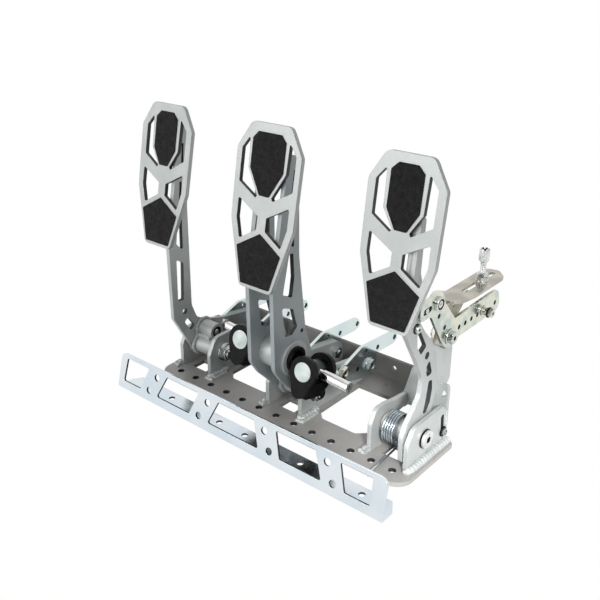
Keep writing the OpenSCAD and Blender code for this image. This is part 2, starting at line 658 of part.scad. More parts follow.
// A clevis hangs from its trunnion, which the bar runs through.
// Local axes: X along the bar, Y through the trunnion, Z up the cheeks.
module at_clevis(x) { on_bar() translate([x, 0, 0]) rotate([-clevis_tilt, 0, 0]) children(); }
module trunnion(x) {
    color("whitesmoke") at_clevis(x) difference() {
        rotate([90, 0, 0]) cylinder(d = trunnion_d, h = trunnion_l, center = true);
        x_rod(-trunnion_d, trunnion_d, [0, 0], bar_d + 2 * fit);
    }
}
cheek_gap = trunnion_l - 2 * cheek_t - 1;   // between the inner faces of the cheeks
base_r = 9;
module clevis(x) {
    drop = clevis_drop - base_r;
    lean = asin((cheek_r - base_r) / drop);
    color("#1c1c1c") at_clevis(x) difference() {
        union() {
            for (y = [cheek_gap / 2, -cheek_gap / 2 - cheek_t])
                translate([0, y + cheek_t, 0]) rotate([90, 0, 0]) linear_extrude(cheek_t) polygon(concat(
                    arc([0, 0], cheek_r, -lean, 180 + lean, 14),
                    arc([0, -drop], base_r, 180 + lean, 360 - lean, 8)));
            translate([-base_r + 0.5, -cheek_gap / 2 - 0.1, -clevis_drop + 1])
                cube([2 * base_r - 1, cheek_gap + 0.2, clevis_drop - trunnion_d / 2 - 4]);
        }
        rotate([90, 0, 0]) cylinder(d = trunnion_d + 2 * fit, h = trunnion_l + 4, center = true);
        translate([0, 0, -clevis_drop - 1]) cylinder(d = pushrod_d, h = clevis_drop - trunnion_d / 2);
    }
}
module right_trunnion() { trunnion(clevis_right); }
module left_trunnion() { trunnion(-clevis_left); }
module right_clevis() { clevis(clevis_right); }
module left_clevis() { clevis(-clevis_left); }

// Throttle arm: an S-shaped slotted plate beside the right wall, with a doubler behind the pad
module throttle_arm() {
    at = throttle_pad_at;
    top = pad_back(at, throttle_lean, 50 * throttle_pad_size);
    foot = pad_back(at, throttle_lean, -53 * throttle_pad_size);
    low = pad_back(at, throttle_lean, -44);
    color("silver") {
        side_plate(throttle_arm_x, arm_t) difference() {
            union() {
                outline([with_r(top, 1), with_r(foot, 0), [foot[0] + 2, 150, 8], [20, 119, 20],
                         [34.5, 93, 12], [32, 75, 12], [11, 53, 12], [4.5, 40, 10], [6.5, 11.5, 4],
                         [pivot_y, 11.5, 4], [pivot_y + boss_r * 0.85, pivot_z - 6, 0],
                         [54, 48, 8], [63.5, 76, 14], [56.5, 108, 24], [47, 129.5, 14], [33, 143, 8],
                         [22, 158, 4], [29, 168, 5], [28, 180, 8],
                         [17.5, 207, 10], [top[0] + 6.5, top[1] - 2, 3]]);
                translate(pivot) circle(r = boss_r);
            }
            translate(pivot) circle(d = bush_d);
            translate(link_front) circle(d = link_pin_d - 0.06);
            outline([[19, 145.5, 1.5], [24.5, 147.5, 1.5], [36.5, 127.5, 2], [27.3, 122, 2],
                     [20.5, 132.5, 2]]);
            translate([39, 116.5]) circle(d = 7.5);
            outline([[44.5, 109.5, 2], [50.5, 93, 2], [41.5, 92.5, 2], [38, 103, 2]]);
            outline([[45.5, 86.5, 2], [51.8, 84.5, 2], [53, 74, 4], [50.5, 60, 3], [44, 51, 2],
                     [38.5, 52, 3], [42, 66, 4]]);
            translate([12, 184]) circle(d = 5);
        }
        side_plate(throttle_arm_x - arm_t / 2 - 2, 4) outline([with_r(top, 1), with_r(low, 0.5),
            [low[0] + 5, low[1] - 1, 1], [top[0] + 5, top[1] - 2, 1]]);
    }
}
module throttle_pivot_tube() { pivot_tube(throttle_x - inner_end, throttle_arm_x - arm_t / 2); }
module throttle_bushes() { bushes(throttle_x - inner_end, throttle_arm_x + arm_t / 2); }

// Rod on the arm, against which the rear leg of the return spring presses
rest_pin_d = 6;
coil_at = [pivot_y, pivot_z - spring_drop];
leg_z = coil_at[1] - spring_r;
spring_x1 = spring_x + spring_turns * spring_pitch;
rest_pin_at = [pivot_y + 21, leg_z + wire_d / 2 + rest_pin_d / 2 + 0.1];
module spring_rest_pin() {
    color("silver") x_rod(spring_x - 2, throttle_arm_x - arm_t / 2, rest_pin_at, rest_pin_d);
}
// Pin that ties the slotted front of the link to the arm, and a small screw below it
screw_at = [16.4, 153.2];
module arm_pins() {
    x = throttle_arm_x + arm_t / 2;
    color("gainsboro") {
        x_rod(throttle_arm_x - arm_t / 2, link_x + link_t / 2 + 0.5, link_front, link_pin_d - 0.1);
        x_rod(throttle_arm_x - arm_t / 2 - 2, throttle_arm_x - arm_t / 2, link_front, 9);
        x_hex(x, x + 3.5, screw_at, 8);
        x_rod(x, x + 1, screw_at, 10);
    }
}

// Torsion spring: a coil that hangs on the pivot tube. Its right leg hooks over the front edge
// of the base, and its left leg lies under the rod on the arm.
hook_y = -front_d - wire_d / 2 - 0.6;
rail_z = base_t + wire_d / 2 + 0.4;
coil = [for (k = [0:spring_turns * 8])
    let (a = -90 - k * 45)
    [spring_x1 - spring_pitch * k / 8, coil_at[0] + spring_r * cos(a), coil_at[1] + spring_r * sin(a)]];
spring_path = concat(
    [[spring_x1 - 1.2, hook_y, 1.6], [spring_x1, hook_y, 2.6], [spring_x1, hook_y, base_t - 0.2],
     [spring_x1, hook_y + 0.8, rail_z - 0.5], [spring_x1, -front_d + 1.6, rail_z],
     [spring_x1, pivot_y - 14, leg_z - 0.6]],
    coil,
    [[spring_x, coil_at[0] + 13, leg_z], [spring_x, coil_at[0] + 26, leg_z]]);
// Least distance between stretches of the wire that aren't neighbours, less the wire
spring_gap = min([for (i = [0:len(spring_path) - 1]) for (j = [0:len(spring_path) - 1])
    if (j - i >= 5) norm(spring_path[i] - spring_path[j])]) - wire_d;
echo(spring_gap = spring_gap);
// A tube swept along a path, closed at both ends
function turned(v, t) = v - t * (v * t);
function frames(p, i, prev) = i == len(p) ? [] :
    let (t = unit(i == 0 ? p[1] - p[0] : i == len(p) - 1 ? p[i] - p[i - 1] : p[i + 1] - p[i - 1]),
         u = unit(turned(prev, t)))
    concat([[u, cross(t, u)]], frames(p, i + 1, u));
module swept(p, d, sides) {
    f = frames(p, 0, [1, 0, 0.01]);
    points = [for (i = [0:len(p) - 1]) for (k = [0:sides - 1])
        p[i] + d / 2 * (f[i][0] * cos(360 * k / sides) + f[i][1] * sin(360 * k / sides))];
    last = (len(p) - 1) * sides;
    walls = [for (i = [0:len(p) - 2]) for (k = [0:sides - 1])
        let (a = i * sides + k, b = i * sides + (k + 1) % sides) each
        [[a, a + sides, b + sides], [a, b + sides, b]]];
    ends = [for (k = [1:sides - 2]) each [[0, k, k + 1], [last, last + k + 1, last + k]]];
    polyhedron(points, concat(walls, ends));
}
module throttle_spring() { color("gainsboro") swept(spring_path, wire_d, 6); }

// Link: a short slotted plate from the arm to the lever
module throttle_link() {
    along = link_rear - link_front;
    a = atan2(along[1], along[0]);
    l = norm(along);
    play = link_pin_d / 2 + gap;
    color("lightsteelblue") side_plate(link_x, link_t) translate(link_front) rotate(a) difference() {
        outline([[-11, -8, 6], [-11, 10, 6], [l + 5, 12, 8], [l + 12, 2, 6], [l + 9, -12, 8],
                 [l - 6, -12, 6], [2, -8, 8]]);
        outline([[-6, -play, play - 0.05], [8, -play, play - 0.05],
                 [8, play, play - 0.05], [-6, play, play - 0.05]]);
        translate([l, 0]) circle(d = 8 + 2 * fit);
    }
}
// Lever with a row of holes for the cable clamp
module bellcrank() {
    y = lever_y;
    z = lever_z;
    color("lightsteelblue") side_plate(lever_x, link_t) difference() {
        outline([[y - 13, z - 3, 8], [y - 1, z - 14, 9], [y + 17, z - 7, 10],
                 [y + lever_l + 3, z - 7, 6], [y + lever_l + 12, z - 1, 8], [y + lever_l + 5, z + 18, 9],
                 [y + lever_l - 12, z + 18, 4], [y + 8, z + 16.5, 3], [link_rear[0] + 15, link_rear[1] - 2, 8],
                 [link_rear[0] + 3, link_rear[1] + 13, 8], [link_rear[0] - 11, link_rear[1] + 4, 8],
                 [link_rear[0] - 4, link_rear[1] - 14, 8]]);
        translate(lever) circle(d = 8 + 2 * fit);
        translate(link_rear) circle(d = 8 + 2 * fit);
        for (i = [0:3]) translate([row_y + i * lever_pitch, row_z]) circle(d = 5);
        translate([y + lever_l, row_z + 0.5]) circle(d = 5);
        translate(clamp_at) circle(d = 6 + 2 * fit);
        for (p = [[-23, 30], [-11, 14]]) translate(lever + p) circle(d = 5);
    }
}
// Large headed pin that joins the lever and the link
module link_pin() {
    x0 = lever_x - link_t / 2;
    x1 = link_x + link_t / 2;
    color("gainsboro") difference() {
        union() {
            x_rod(x0 - 0.1, x1 + 0.1, link_rear, 8);
            x_rod(x1 + 0.1, x1 + 3, link_rear, 14);
            x_rod(x0 - 0.25, x0, link_rear, 8);
        }
        x_hex(x1 + 1, x1 + 4, link_rear, 6);
    }
}
// Swivelling cable clamp in the lever
module cable_clamp() {
    x0 = lever_x - link_t / 2;
    x1 = lever_x + link_t / 2;
    color("gainsboro") difference() {
        union() {
            x_rod(x0 - 1.5, x1 + 0.4, clamp_at, 6);
            x_rod(x0 - 2.5, x0 - gap, clamp_at, 8.5);
            x_rod(x1 + gap, x1 + 8, clamp_at, 11);
            x_hex(x1 + 8, x1 + 11, clamp_at, 10);
        }
        translate([x1 + 4.5, clamp_at[0], clamp_at[1] - 10]) cylinder(d = 2, h = 20);
    }
}

// Fixed bracket on the tongue: a side plate under a flat top that holds the cable adjuster
top_t = 3;
side_x = tongue_right - tongue_rib_t - gap - link_t / 2;
foot_w = 10;
plate_x = adjuster_at[0] - 0.5;
module cable_bracket() {
    y0 = bulkhead_y + bulkhead_t;
    zt = bracket_top - top_t;
    left = plate_x - bracket_w / 2;
    right = plate_x + bracket_w / 2;
    color("lightsteelblue") difference() {
        union() {
            side_plate(side_x, link_t) outline([
                [y0, lever_z - 45, 0], [y0, lever_z - 16, 0], [lever_y - 13, lever_z - 6, 8],
                [lever_y - 8, lever_z + 12, 8], [y0 - 1, zt + 0.1, 0], [y0 + 46, zt + 0.1, 0],
                [y0 + 24, zt - 20, 8], [y0 + 13, lever_z - 4, 8], [y0 + 13, lever_z - 41, 3]]);
            translate([side_x + link_t / 2 - foot_w, y0, lever_z - 45]) cube([foot_w, 3, 26]);
            translate([0, 0, zt]) linear_extrude(top_t) outline([
                [left - 8, y0 + 17, 4], [left - 6, y0 + 1, 3], [right - 8, y0 + 4, 4],
                [right - 2, y0 + 11, 8], [right + 1, y0 + 30, 10], [right + 1, y0 + 90, 10],
                [right - 11, y0 + 102, 6], [left + 2, y0 + 100, 8], [left, y0 + 80, 10],
                [left, y0 + 20, 3]]);
        }
        translate([adjuster_at[0], adjuster_at[1], zt - 1]) cylinder(d = adjuster_d + 2 * slip, h = top_t + 2);
        translate([0, 0, zt - 1]) linear_extrude(top_t + 2) {
            outline([[adjuster_at[0] - 3, y0 + 30, 2.5], [adjuster_at[0] + 3, y0 + 30, 2.5],
                     [adjuster_at[0] + 3, adjuster_at[1] - 8, 2.5], [adjuster_at[0] - 3, adjuster_at[1] - 8, 2.5]]);
            outline([[adjuster_at[0] - 2.5, adjuster_at[1] + 12, 2], [adjuster_at[0] + 2.5, adjuster_at[1] + 12, 2],
                     [adjuster_at[0] + 2.5, y0 + 94, 2], [adjuster_at[0] - 2.5, y0 + 94, 2]]);
        }
        x_rod(side_x - 2, side_x + 2, lever, 8);
        translate([side_x - 2, lever_y + 22, bracket_top - 9]) rotate([0, 90, 0]) cylinder(d = 4, h = 4);
        for (z = [lever_z - 39, lever_z - 26])
            translate([side_x - 5, y0 - 1, z]) rotate([-90, 0, 0]) cylinder(d = 3 + 2 * slip, h = 6);
    }
}
// Screws that hold the bracket on the tongue, and the lock nuts of the cable adjuster
module bracket_screws() {
    y0 = bulkhead_y + bulkhead_t + 3;
    color("gainsboro") for (z = [lever_z - 39, lever_z - 26])
        translate([side_x - 5, y0, z]) rotate([-90, 0, 0]) {
            cylinder(d = 6, h = 2.5, $fn = 6);
            translate([0, 0, -3]) cylinder(d = 3, h = 3.1);
        }
    color("gainsboro") translate([adjuster_at[0], adjuster_at[1], 0]) difference() {
        union() for (z = [bracket_top, bracket_top + 4.2, bracket_top - top_t - 4]) translate([0, 0, z])
            cylinder(d = 11.5, h = 4, $fn = 6);
        translate([0, 0, bracket_top - 20]) cylinder(d = adjuster_d + 2 * fit, h = 40);
    }
}
// Pivot bolt of the lever, through the side plate of the bracket
module lever_bolt() {
    x0 = side_x - link_t / 2;
    x1 = lever_x + link_t / 2;
    color("gainsboro") {
        x_rod(x0 - 0.1, x1 + 3, lever, 8);
        x_hex(x0 - 4.5, x0, lever, 13);
        x_rod(side_x + link_t / 2, lever_x - link_t / 2 - gap, lever, 9);
        x_rod(x1 + gap, x1 + gap + 1.2, lever, 16);
        x_hex(x1 + gap + 1.2, x1 + 6, lever, 13);
    }
}
// Knurled cable adjuster with its threaded stem, in the top of the bracket
barrel_d = 10.5;
barrel_h = 13;
barrel_z = bracket_top + 21;
module cable_adjuster() {
    color("lightgray") translate([adjuster_at[0], adjuster_at[1], 0]) difference() {
        union() {
            translate([0, 0, bracket_top - 12]) cylinder(d = adjuster_d, h = barrel_z - bracket_top + 13);
            translate([0, 0, barrel_z]) cylinder(d = barrel_d, h = barrel_h);
        }
        translate([0, 0, bracket_top - 13]) cylinder(d = 2.5, h = 60);
        translate([0, 0, barrel_z + barrel_h - 6]) cylinder(d = 7, h = 7);
        for (a = [0:60:120]) translate([0, 0, barrel_z + barrel_h]) rotate([0, 0, a])
            cube([barrel_d + 2, 1.6, 3], center = true);
    }
}
// Stop bolt in the slot of the right wall
module stop_bolt() {
    out = throttle_x + half_bay + wall_t;
    color("gainsboro") {
        x_rod(throttle_x + half_bay - 1, out + 5, [bulkhead_y - 5.2, 20], 5);
        x_hex(out, out + 4, [bulkhead_y - 5.2, 20], 10);
        x_rod(throttle_x + half_bay - 4, throttle_x + half_bay, [bulkhead_y - 5.2, 20], 8);
    }
}

// Heel rail: a bent plate that stands by itself in front of the base
rail_top_window = rail_h - 5;
rail_low_window = 12;
module rail_windows() {
    lo = rail_low_window;
    hi = rail_top_window;
    translate([-2.5, 0]) {
        outline([[-36, lo, 2], [36, lo, 2], [25, hi, 2], [-25, hi, 2]]);
        for (side = [-1, 1]) {
            outline([[side * 64, lo, 2], [side * 116, lo, 2], [side * 104, hi, 2], [side * 54, hi, 2]]);
            outline([[side * 143, lo, 2], [side * 172, lo, 2], [side * 170, hi, 2], [side * 133, hi, 2]]);
            translate([side * 40, hi - 6]) circle(d = 8);
            translate([side * 119, hi - 6]) circle(d = 8);
            translate([side * 50, lo + 3]) circle(d = 8);
            translate([side * 129, lo + 3]) circle(d = 8);
        }
    }
}
// Side view of the bent sheet, as Y and Z
module rail_profile() {
    back = -rail_front + rail_t / cos(rail_lean);
    rise = rail_h * cos(rail_lean);
    top = -rail_front + rail_h * sin(rail_lean);
    outline([[-rail_front, 0, rail_t + 1.5], [-rail_front + rail_d, 0, 0], [-rail_front + rail_d, rail_t, 0],
             [back + rail_t * tan(rail_lean), rail_t, 1.5],
             [top + rail_t * cos(rail_lean), rise - rail_t * sin(rail_lean), 0], [top, rise, 0]]);
}
rail_corner_r = 8;
module rail_corner(side) {
    difference() {
        translate([side * (rail_l / 2 - rail_corner_r / 2 + 0.5), rail_h - rail_corner_r / 2 + 0.5])
            square(rail_corner_r + 1, center = true);
        translate([side * (rail_l / 2 - rail_corner_r), rail_h - rail_corner_r]) circle(r = rail_corner_r);
    }
}
module heel_rail() {
    color("lightsteelblue") difference() {
        side_plate(0, rail_l) rail_profile();
        translate([0, -rail_front, -1]) {
            for (x = [-115, -40, -2.5, 72.5, 147.5]) translate([x, 22, 0]) cylinder(d = 7, h = rail_t + 2);
            for (x = [-rail_l / 2, rail_l / 2]) translate([x, rail_d, 0]) linear_extrude(rail_t + 2)
                polygon([[-8, 0], [0, -12], [8, 0], [8, 5], [-8, 5]]);
        }
        translate([0, -rail_front, 0]) rotate([90 - rail_lean, 0, 0]) translate([0, 0, -rail_t - 1])
            linear_extrude(rail_t + 2) {
                rail_windows();
                rail_corner(-1);
                rail_corner(1);
            }
    }
}

base_plate();
rear_beam();
clutch_wall_left();
clutch_wall_right();
brake_wall_left();
brake_wall_right();
throttle_wall_left();
throttle_wall_right();
throttle_bulkhead();
clutch_bracket_left();
clutch_bracket_right();
brake_bracket_left();
brake_bracket_right();
bracket_bolts();
bracket_nuts();
clutch_pivot_bolt();
brake_pivot_bolt();
throttle_pivot_bolt();
pivot_nuts();
heel_rail();
clutch_arm();
clutch_pivot_tube();
clutch_bushes();
clutch_pad();
clutch_grip_tape();
brake_arm_left();
brake_arm_right();
brake_pivot_tube();
brake_bushes();
balance_tube();
balance_race();
tube_seals();
brake_pad();
brake_grip_tape();
balance_ball();
balance_bar();
bar_nuts();
adjuster_sleeve();
right_trunnion();
right_clevis();
left_trunnion();
left_clevis();
throttle_arm();
throttle_pivot_tube();
throttle_bushes();
throttle_pad();
throttle_grip_tape();
spring_rest_pin();
arm_pins();
throttle_spring();
throttle_link();
bellcrank();
link_pin();
cable_clamp();
cable_bracket();
bracket_screws();
lever_bolt();
cable_adjuster();
stop_bolt();
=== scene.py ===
# %% [markdown]
# A floor mounted set of three pedals
#
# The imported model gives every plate, tube and pin in its real place. This lesson dresses it.
# Flat plates get softly rounded edges, the fasteners get their chamfers and threads, the joints
# get their weld beads, and every surface gets a finish that is worked out from real sizes.

# %% Load the fixed frame
import bpy
import json
import math
from mathutils import Matrix, Vector


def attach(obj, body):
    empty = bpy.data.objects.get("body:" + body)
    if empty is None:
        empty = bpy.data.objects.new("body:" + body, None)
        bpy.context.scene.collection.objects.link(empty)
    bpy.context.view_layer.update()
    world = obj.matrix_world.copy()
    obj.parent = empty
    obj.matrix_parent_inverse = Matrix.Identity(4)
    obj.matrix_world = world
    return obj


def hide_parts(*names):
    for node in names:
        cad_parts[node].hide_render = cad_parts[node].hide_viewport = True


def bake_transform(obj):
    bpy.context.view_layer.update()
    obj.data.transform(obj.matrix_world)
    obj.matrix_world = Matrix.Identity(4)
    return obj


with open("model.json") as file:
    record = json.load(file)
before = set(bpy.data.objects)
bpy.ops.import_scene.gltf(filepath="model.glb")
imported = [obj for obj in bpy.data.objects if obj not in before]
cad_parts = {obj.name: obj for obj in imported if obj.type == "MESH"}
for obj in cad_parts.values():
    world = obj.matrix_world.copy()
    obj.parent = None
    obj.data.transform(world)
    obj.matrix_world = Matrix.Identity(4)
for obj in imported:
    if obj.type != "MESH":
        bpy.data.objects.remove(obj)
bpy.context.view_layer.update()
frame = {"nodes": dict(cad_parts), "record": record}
nodes = frame["nodes"]
MM = 0.001
# Places in mm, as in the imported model. Pairs are y and z.
BAY_X = {"clutch": -137.5, "brake": 0, "throttle": 137.5}
PIVOT = (35, 29)
UPPER_TUBE = (40, 48)

# %% [markdown]
# The camera comes first, because it settles what has to be seen. The photograph looks down at the
# set by about 25 degrees, from its front right corner. Its place was found by matching corners of
# the pads, the holes of the base and the heel rail.

# %% Camera at the photograph's view
camera_data = bpy.data.cameras.new("photo_camera")
camera_data.sensor_width = 36
camera_data.lens = 48.13
camera = bpy.data.objects.new("photo_camera", camera_data)
camera.location = (0.4911, -0.5430, 0.47732)
camera.rotation_euler = Vector((-0.5855, 0.6950, -0.4174)).to_track_quat("-Z", "Y").to_euler()
bpy.context.scene.collection.objects.link(camera)
bpy.context.scene.camera = camera
bpy.context.scene.view_settings.view_transform = "Standard"
print("camera lens", camera_data.lens)

# %% [markdown]
# Modelling by hand always starts with nothing selected. These helpers select one object, open it
# for editing, apply its modifiers and pick faces or vertices by a test on their place.

# %% Helpers for selecting and editing
def clear():
    bpy.ops.object.select_all(action="DESELECT")


def only(piece):
    clear()
    piece.select_set(True)
    bpy.context.view_layer.objects.active = piece


def open_edit(piece, kind="FACE"):
    only(piece)
    bpy.ops.object.mode_set(mode="EDIT")
    bpy.ops.mesh.select_mode(type=kind)


def close_edit():
    bpy.ops.object.mode_set(mode="OBJECT")


def apply_all(piece):
    only(piece)
    for modifier in list(piece.modifiers):
        bpy.ops.object.modifier_apply(modifier=modifier.name)


def outward(piece):
    """Merges doubles and turns every face outwards."""
    open_edit(piece)
    bpy.ops.mesh.select_all(action="SELECT")
    bpy.ops.mesh.remove_doubles(threshold=1e-6)
    bpy.ops.mesh.normals_make_consistent(inside=False)
    close_edit()


def smooth(piece, degrees=35):
    only(piece)
    bpy.ops.object.shade_smooth_by_angle(angle=math.radians(degrees))


def joined(name, pieces):
    """Joins pieces into one object under a name."""
    clear()
    for piece in pieces:
        piece.select_set(True)
    bpy.context.view_layer.objects.active = pieces[0]
    if len(pieces) > 1:
        bpy.ops.object.join()
    result = bpy.context.view_layer.objects.active
    result.name = name
    return result


def seat(piece, at, axis=(0, 0, 1), spin=0):
    """Turns a piece made about Z to another axis, moves it in mm, and applies its place."""
    turn = Vector((0, 0, 1)).rotation_difference(Vector(axis)).to_matrix().to_4x4()
    place = Matrix.Translation(Vector(at) * MM)
    piece.matrix_world = place @ turn @ Matrix.Rotation(math.radians(spin), 4, "Z")
    only(piece)
    bpy.ops.object.transform_apply(location=True, rotation=True, scale=True)
    return piece


def copy_of(piece, name):
    """A copy with a mesh of its own."""
    twin = bpy.data.objects.new(name, piece.data.copy())
    bpy.context.scene.collection.objects.link(twin)
    return twin


def cut(piece, tool, how="DIFFERENCE"):
    """Cuts one closed piece by another, which is used up."""
    modifier = piece.modifiers.new("cut", "BOOLEAN")
    modifier.operation = how
    modifier.object = tool
    modifier.solver = "EXACT"
    apply_all(piece)
    bpy.data.objects.remove(tool)
    return piece


def finish_in(piece, finish, picked=None):
    """Gives the whole piece a finish, or only the faces that a test on centre and normal picks."""
    piece.data.materials.append(finish)
    if picked is not None:
        index = len(piece.data.materials) - 1
        for face in piece.data.polygons:
            if picked(face.center / MM, face.normal):
                face.material_index = index
    return piece


def flat_shading(piece):
    """Keeps large flat faces flat in the shading where they meet rounded edges."""
    weights = piece.modifiers.new("flat", "WEIGHTED_NORMAL")
    weights.keep_sharp = True
    apply_all(piece)


# %% [markdown]
# Finishes are built from nodes. One function adds a node with its settings and links, and one
# turns the colours, which are written as on a colour chart, to the linear values that light uses.

# %% Colours and nodes
def linear(code):
    channels = [int(code[i:i + 2], 16) / 255 for i in (1, 3, 5)]
    curve = [c / 12.92 if c <= 0.04045 else ((c + 0.055) / 1.055) ** 2.4 for c in channels]
    return (*curve, 1)


def add(material, kind, settings=None, links=None):
    """Adds one node. Settings are attributes or input sockets, links feed inputs from outputs."""
    node = material.node_tree.nodes.new(kind)
    for name, value in (settings or {}).items():
        if isinstance(name, str) and hasattr(node, name):
            setattr(node, name, value)
        else:
            node.inputs[name].default_value = value
    for name, source in (links or {}).items():
        material.node_tree.links.new(source, node.inputs[name])
    return node


def blank(name):
    """A material with an output and nothing else."""
    material = bpy.data.materials.new(name)
    material.use_nodes = True
    material.node_tree.nodes.clear()
    return material


def show(material, shader):
    add(material, "ShaderNodeOutputMaterial", links={"Surface": shader.outputs[0]})
    return material


def grain_size(mm):
    """Scale of a noise whose grains are this many millimetres across."""
    return 1 / (mm * MM)


def two_tones(material, source, low, high, first, second):
    """A ramp between two colours over part of a value's range."""
    ramp = add(material, "ShaderNodeValToRGB", links={"Fac": source})
    ramp.color_ramp.elements[0].position = low
    ramp.color_ramp.elements[1].position = high
    ramp.color_ramp.elements[0].color = linear(first)
    ramp.color_ramp.elements[1].color = linear(second)
    return ramp.outputs["Color"]


def spread(material, source, low, high):
    """Stretches the middle of a noise over a range of values."""
    return add(material, "ShaderNodeMapRange",
               {"From Min": 0.3, "From Max": 0.7, "To Min": low, "To Max": high},
               {"Value": source}).outputs[0]


def noise(material, mm, detail, place):
    return add(material, "ShaderNodeTexNoise", {"Scale": grain_size(mm), "Detail": detail},
               {"Vector": place}).outputs["Fac"]


def rounded_normal(material, radius_mm, height, distance_mm, strength):
    """Softens sharp edges in the shading, and lays a bump over the result."""
    edge = add(material, "ShaderNodeBevel", {"samples": 4, "Radius": radius_mm * MM})
    bump = add(material, "ShaderNodeBump", {"Strength": strength, "Distance": distance_mm * MM},
               {"Height": height, "Normal": edge.outputs[0]})
    return bump.outputs[0]


print("mid grey", [round(v, 3) for v in linear("#808080")])

# %% [markdown]
# The plates are laser cut steel with a silver powder coat. The coat is baked on as a powder with
# fine aluminium flakes, so it is satin, a little metallic, and has a shallow orange peel of about
# two millimetres. Some of these coats hold painted shade, and not another paint. The walls of the
# cut windows are painted nearly black, as the deep shadow that they lie in. The brake arms are
# painted about a quarter darker than the other arms, as shade. The base and the beam are painted
# darker as shade, and warmer. Under other lamps, all of these can take the colours of the plain
# coat.

# %% Silver powder coat
def powder_coat(name, first, second, rough=0.42, metal=0.35):
    material = blank(name)
    place = add(material, "ShaderNodeTexCoord").outputs["Object"]
    cloud = noise(material, 38, 2.0, place)
    peel = noise(material, 2.2, 2.0, place)
    flake = noise(material, 0.8, 1.0, place)
    tone = two_tones(material, cloud, 0.35, 0.65, first, second)
    mixed = add(material, "ShaderNodeVectorMath", {"operation": "SCALE"},
                {0: tone, "Scale": spread(material, flake, 0.94, 1.05)})
    normal = rounded_normal(material, 0.6, peel, 0.06, 0.5)
    shader = add(material, "ShaderNodeBsdfPrincipled", {"Metallic": metal, "IOR": 1.5},
                 {"Base Color": mixed.outputs[0], "Normal": normal,
                  "Roughness": spread(material, cloud, rough - 0.04, rough + 0.06)})
    return show(material, shader)


coat = powder_coat("silver_powder_coat", "#B4B9B7", "#BFC2C1")
# The same silver coat, painted darker as the shade that falls on the brake arms.
brake_arm_painted_shade_coat = powder_coat("powder_coat_painted_darker_as_shade_on_brake_arms", "#9BA2A4", "#A6ACAE")
# The walls of cut windows and holes are painted nearly black, as the shade that lies in them.
cut_wall_painted_shade = powder_coat("painted_shade_on_cut_walls", "#2B2D2F", "#3A3C3E", 0.55, 0.1)
# The base's coat is painted darker as the shade that falls on it, and is a little warmer.
base_painted_shade_coat = powder_coat("powder_coat_painted_darker_as_shade_on_base", "#9D9B98", "#A8A6A3", 0.44, 0.3)
# The beam's coat is painted darker as the shade that it lies in.
beam_painted_shade_coat = powder_coat("powder_coat_painted_darker_as_shade_on_beam", "#858381", "#8F8D8B", 0.5, 0.2)
weld_coat = powder_coat("coated_weld_metal", "#AEB2B1", "#BCBFBE", 0.46, 0.2)
print("powder coats", coat.name, base_painted_shade_coat.name, beam_painted_shade_coat.name, weld_coat.name)

# %% [markdown]
# Brackets, linkage and heel rail are zinc plated. A bright zinc bath leaves a mirror like metal
# that drifts between bluish and yellowish, because its passivation layer is only a few hundred
# nanometres thick. The fine lines of the rolled sheet still show under it.

# %% Bright zinc plate
def zinc_plate(name, cool, warm, rough=0.2, lines_mm=0.9, cloud_mm=46):
    material = blank(name)
    place = add(material, "ShaderNodeTexCoord").outputs["Object"]
    along = add(material, "ShaderNodeMapping", {"Scale": (0.05, 1.0, 1.0)}, {"Vector": place})
    lines = noise(material, lines_mm, 2.0, along.outputs[0])
    tone = two_tones(material, noise(material, cloud_mm, 1.0, place), 0.36, 0.64, cool, warm)
    normal = rounded_normal(material, 0.35, lines, 0.02, 0.12)
    shade = spread(material, noise(material, 12, 1.0, place), rough - 0.03, rough + 0.05)
    shader = add(material, "ShaderNodeBsdfPrincipled", {"Metallic": 1.0},
                 {"Base Color": tone, "Roughness": shade, "Normal": normal})
    return show(material, shader)


zinc = zinc_plate("bright_zinc_plate", "#CBDCDD", "#D9E3DF", 0.16)
rail_zinc = zinc_plate("bright_zinc_plate_on_rail", "#D2DEE6", "#DFE6EA", 0.17)
link_zinc = zinc_plate("pale_green_zinc_plate", "#BCCAC4", "#DCDCCB", 0.2, cloud_mm=11)
bracket_zinc = zinc_plate("warm_zinc_plate", "#A8A49B", "#C2BCAF", 0.26, cloud_mm=16)
yellow_zinc = zinc_plate("yellow_zinc_plate", "#D6C878", "#E2DFC4", 0.2, 1.6)
# The walls of windows and holes in the zinc parts are painted dark, as the shade inside them.
zinc_cut_wall_painted_shade = zinc_plate("painted_shade_on_zinc_cut_walls", "#3C4246", "#4A4C48", 0.4)
fastener_zinc = zinc_plate("zinc_plated_fastener", "#C2C9CC", "#D2D2CA", 0.15, 0.5)
spring_wire = zinc_plate("zinc_plated_spring_wire", "#9DB0BE", "#CBD2D4", 0.12, 0.4)
print("zinc finishes", zinc.name, rail_zinc.name, link_zinc.name, spring_wire.name)

# %% [markdown]
# The balance bar is polished and the cable adjuster is faced on a lathe. The trunnions' sides are
# painted dark as shade, and their end faces are milled steel. The clevises and the seals are black
# and dull, with little sheen. The same black is painted as shade into sockets, dishes and bores.

# %% Polished steel, black steel that is also painted as shade, and bearing bronze
def turned_metal(name, first, second, rough, metal=1.0, shine=0.5, groove_mm=0.35):
    material = blank(name)
    place = add(material, "ShaderNodeTexCoord").outputs["Object"]
    smear = noise(material, 9, 2.0, place)
    tone = two_tones(material, smear, 0.35, 0.65, first, second)
    normal = rounded_normal(material, 0.4, noise(material, groove_mm, 1.0, place), 0.01, 0.2)
    shader = add(material, "ShaderNodeBsdfPrincipled",
                 {"Metallic": metal, "Specular IOR Level": shine},
                 {"Base Color": tone, "Normal": normal,
                  "Roughness": spread(material, smear, rough * 0.8, rough * 1.3)})
    return show(material, shader)


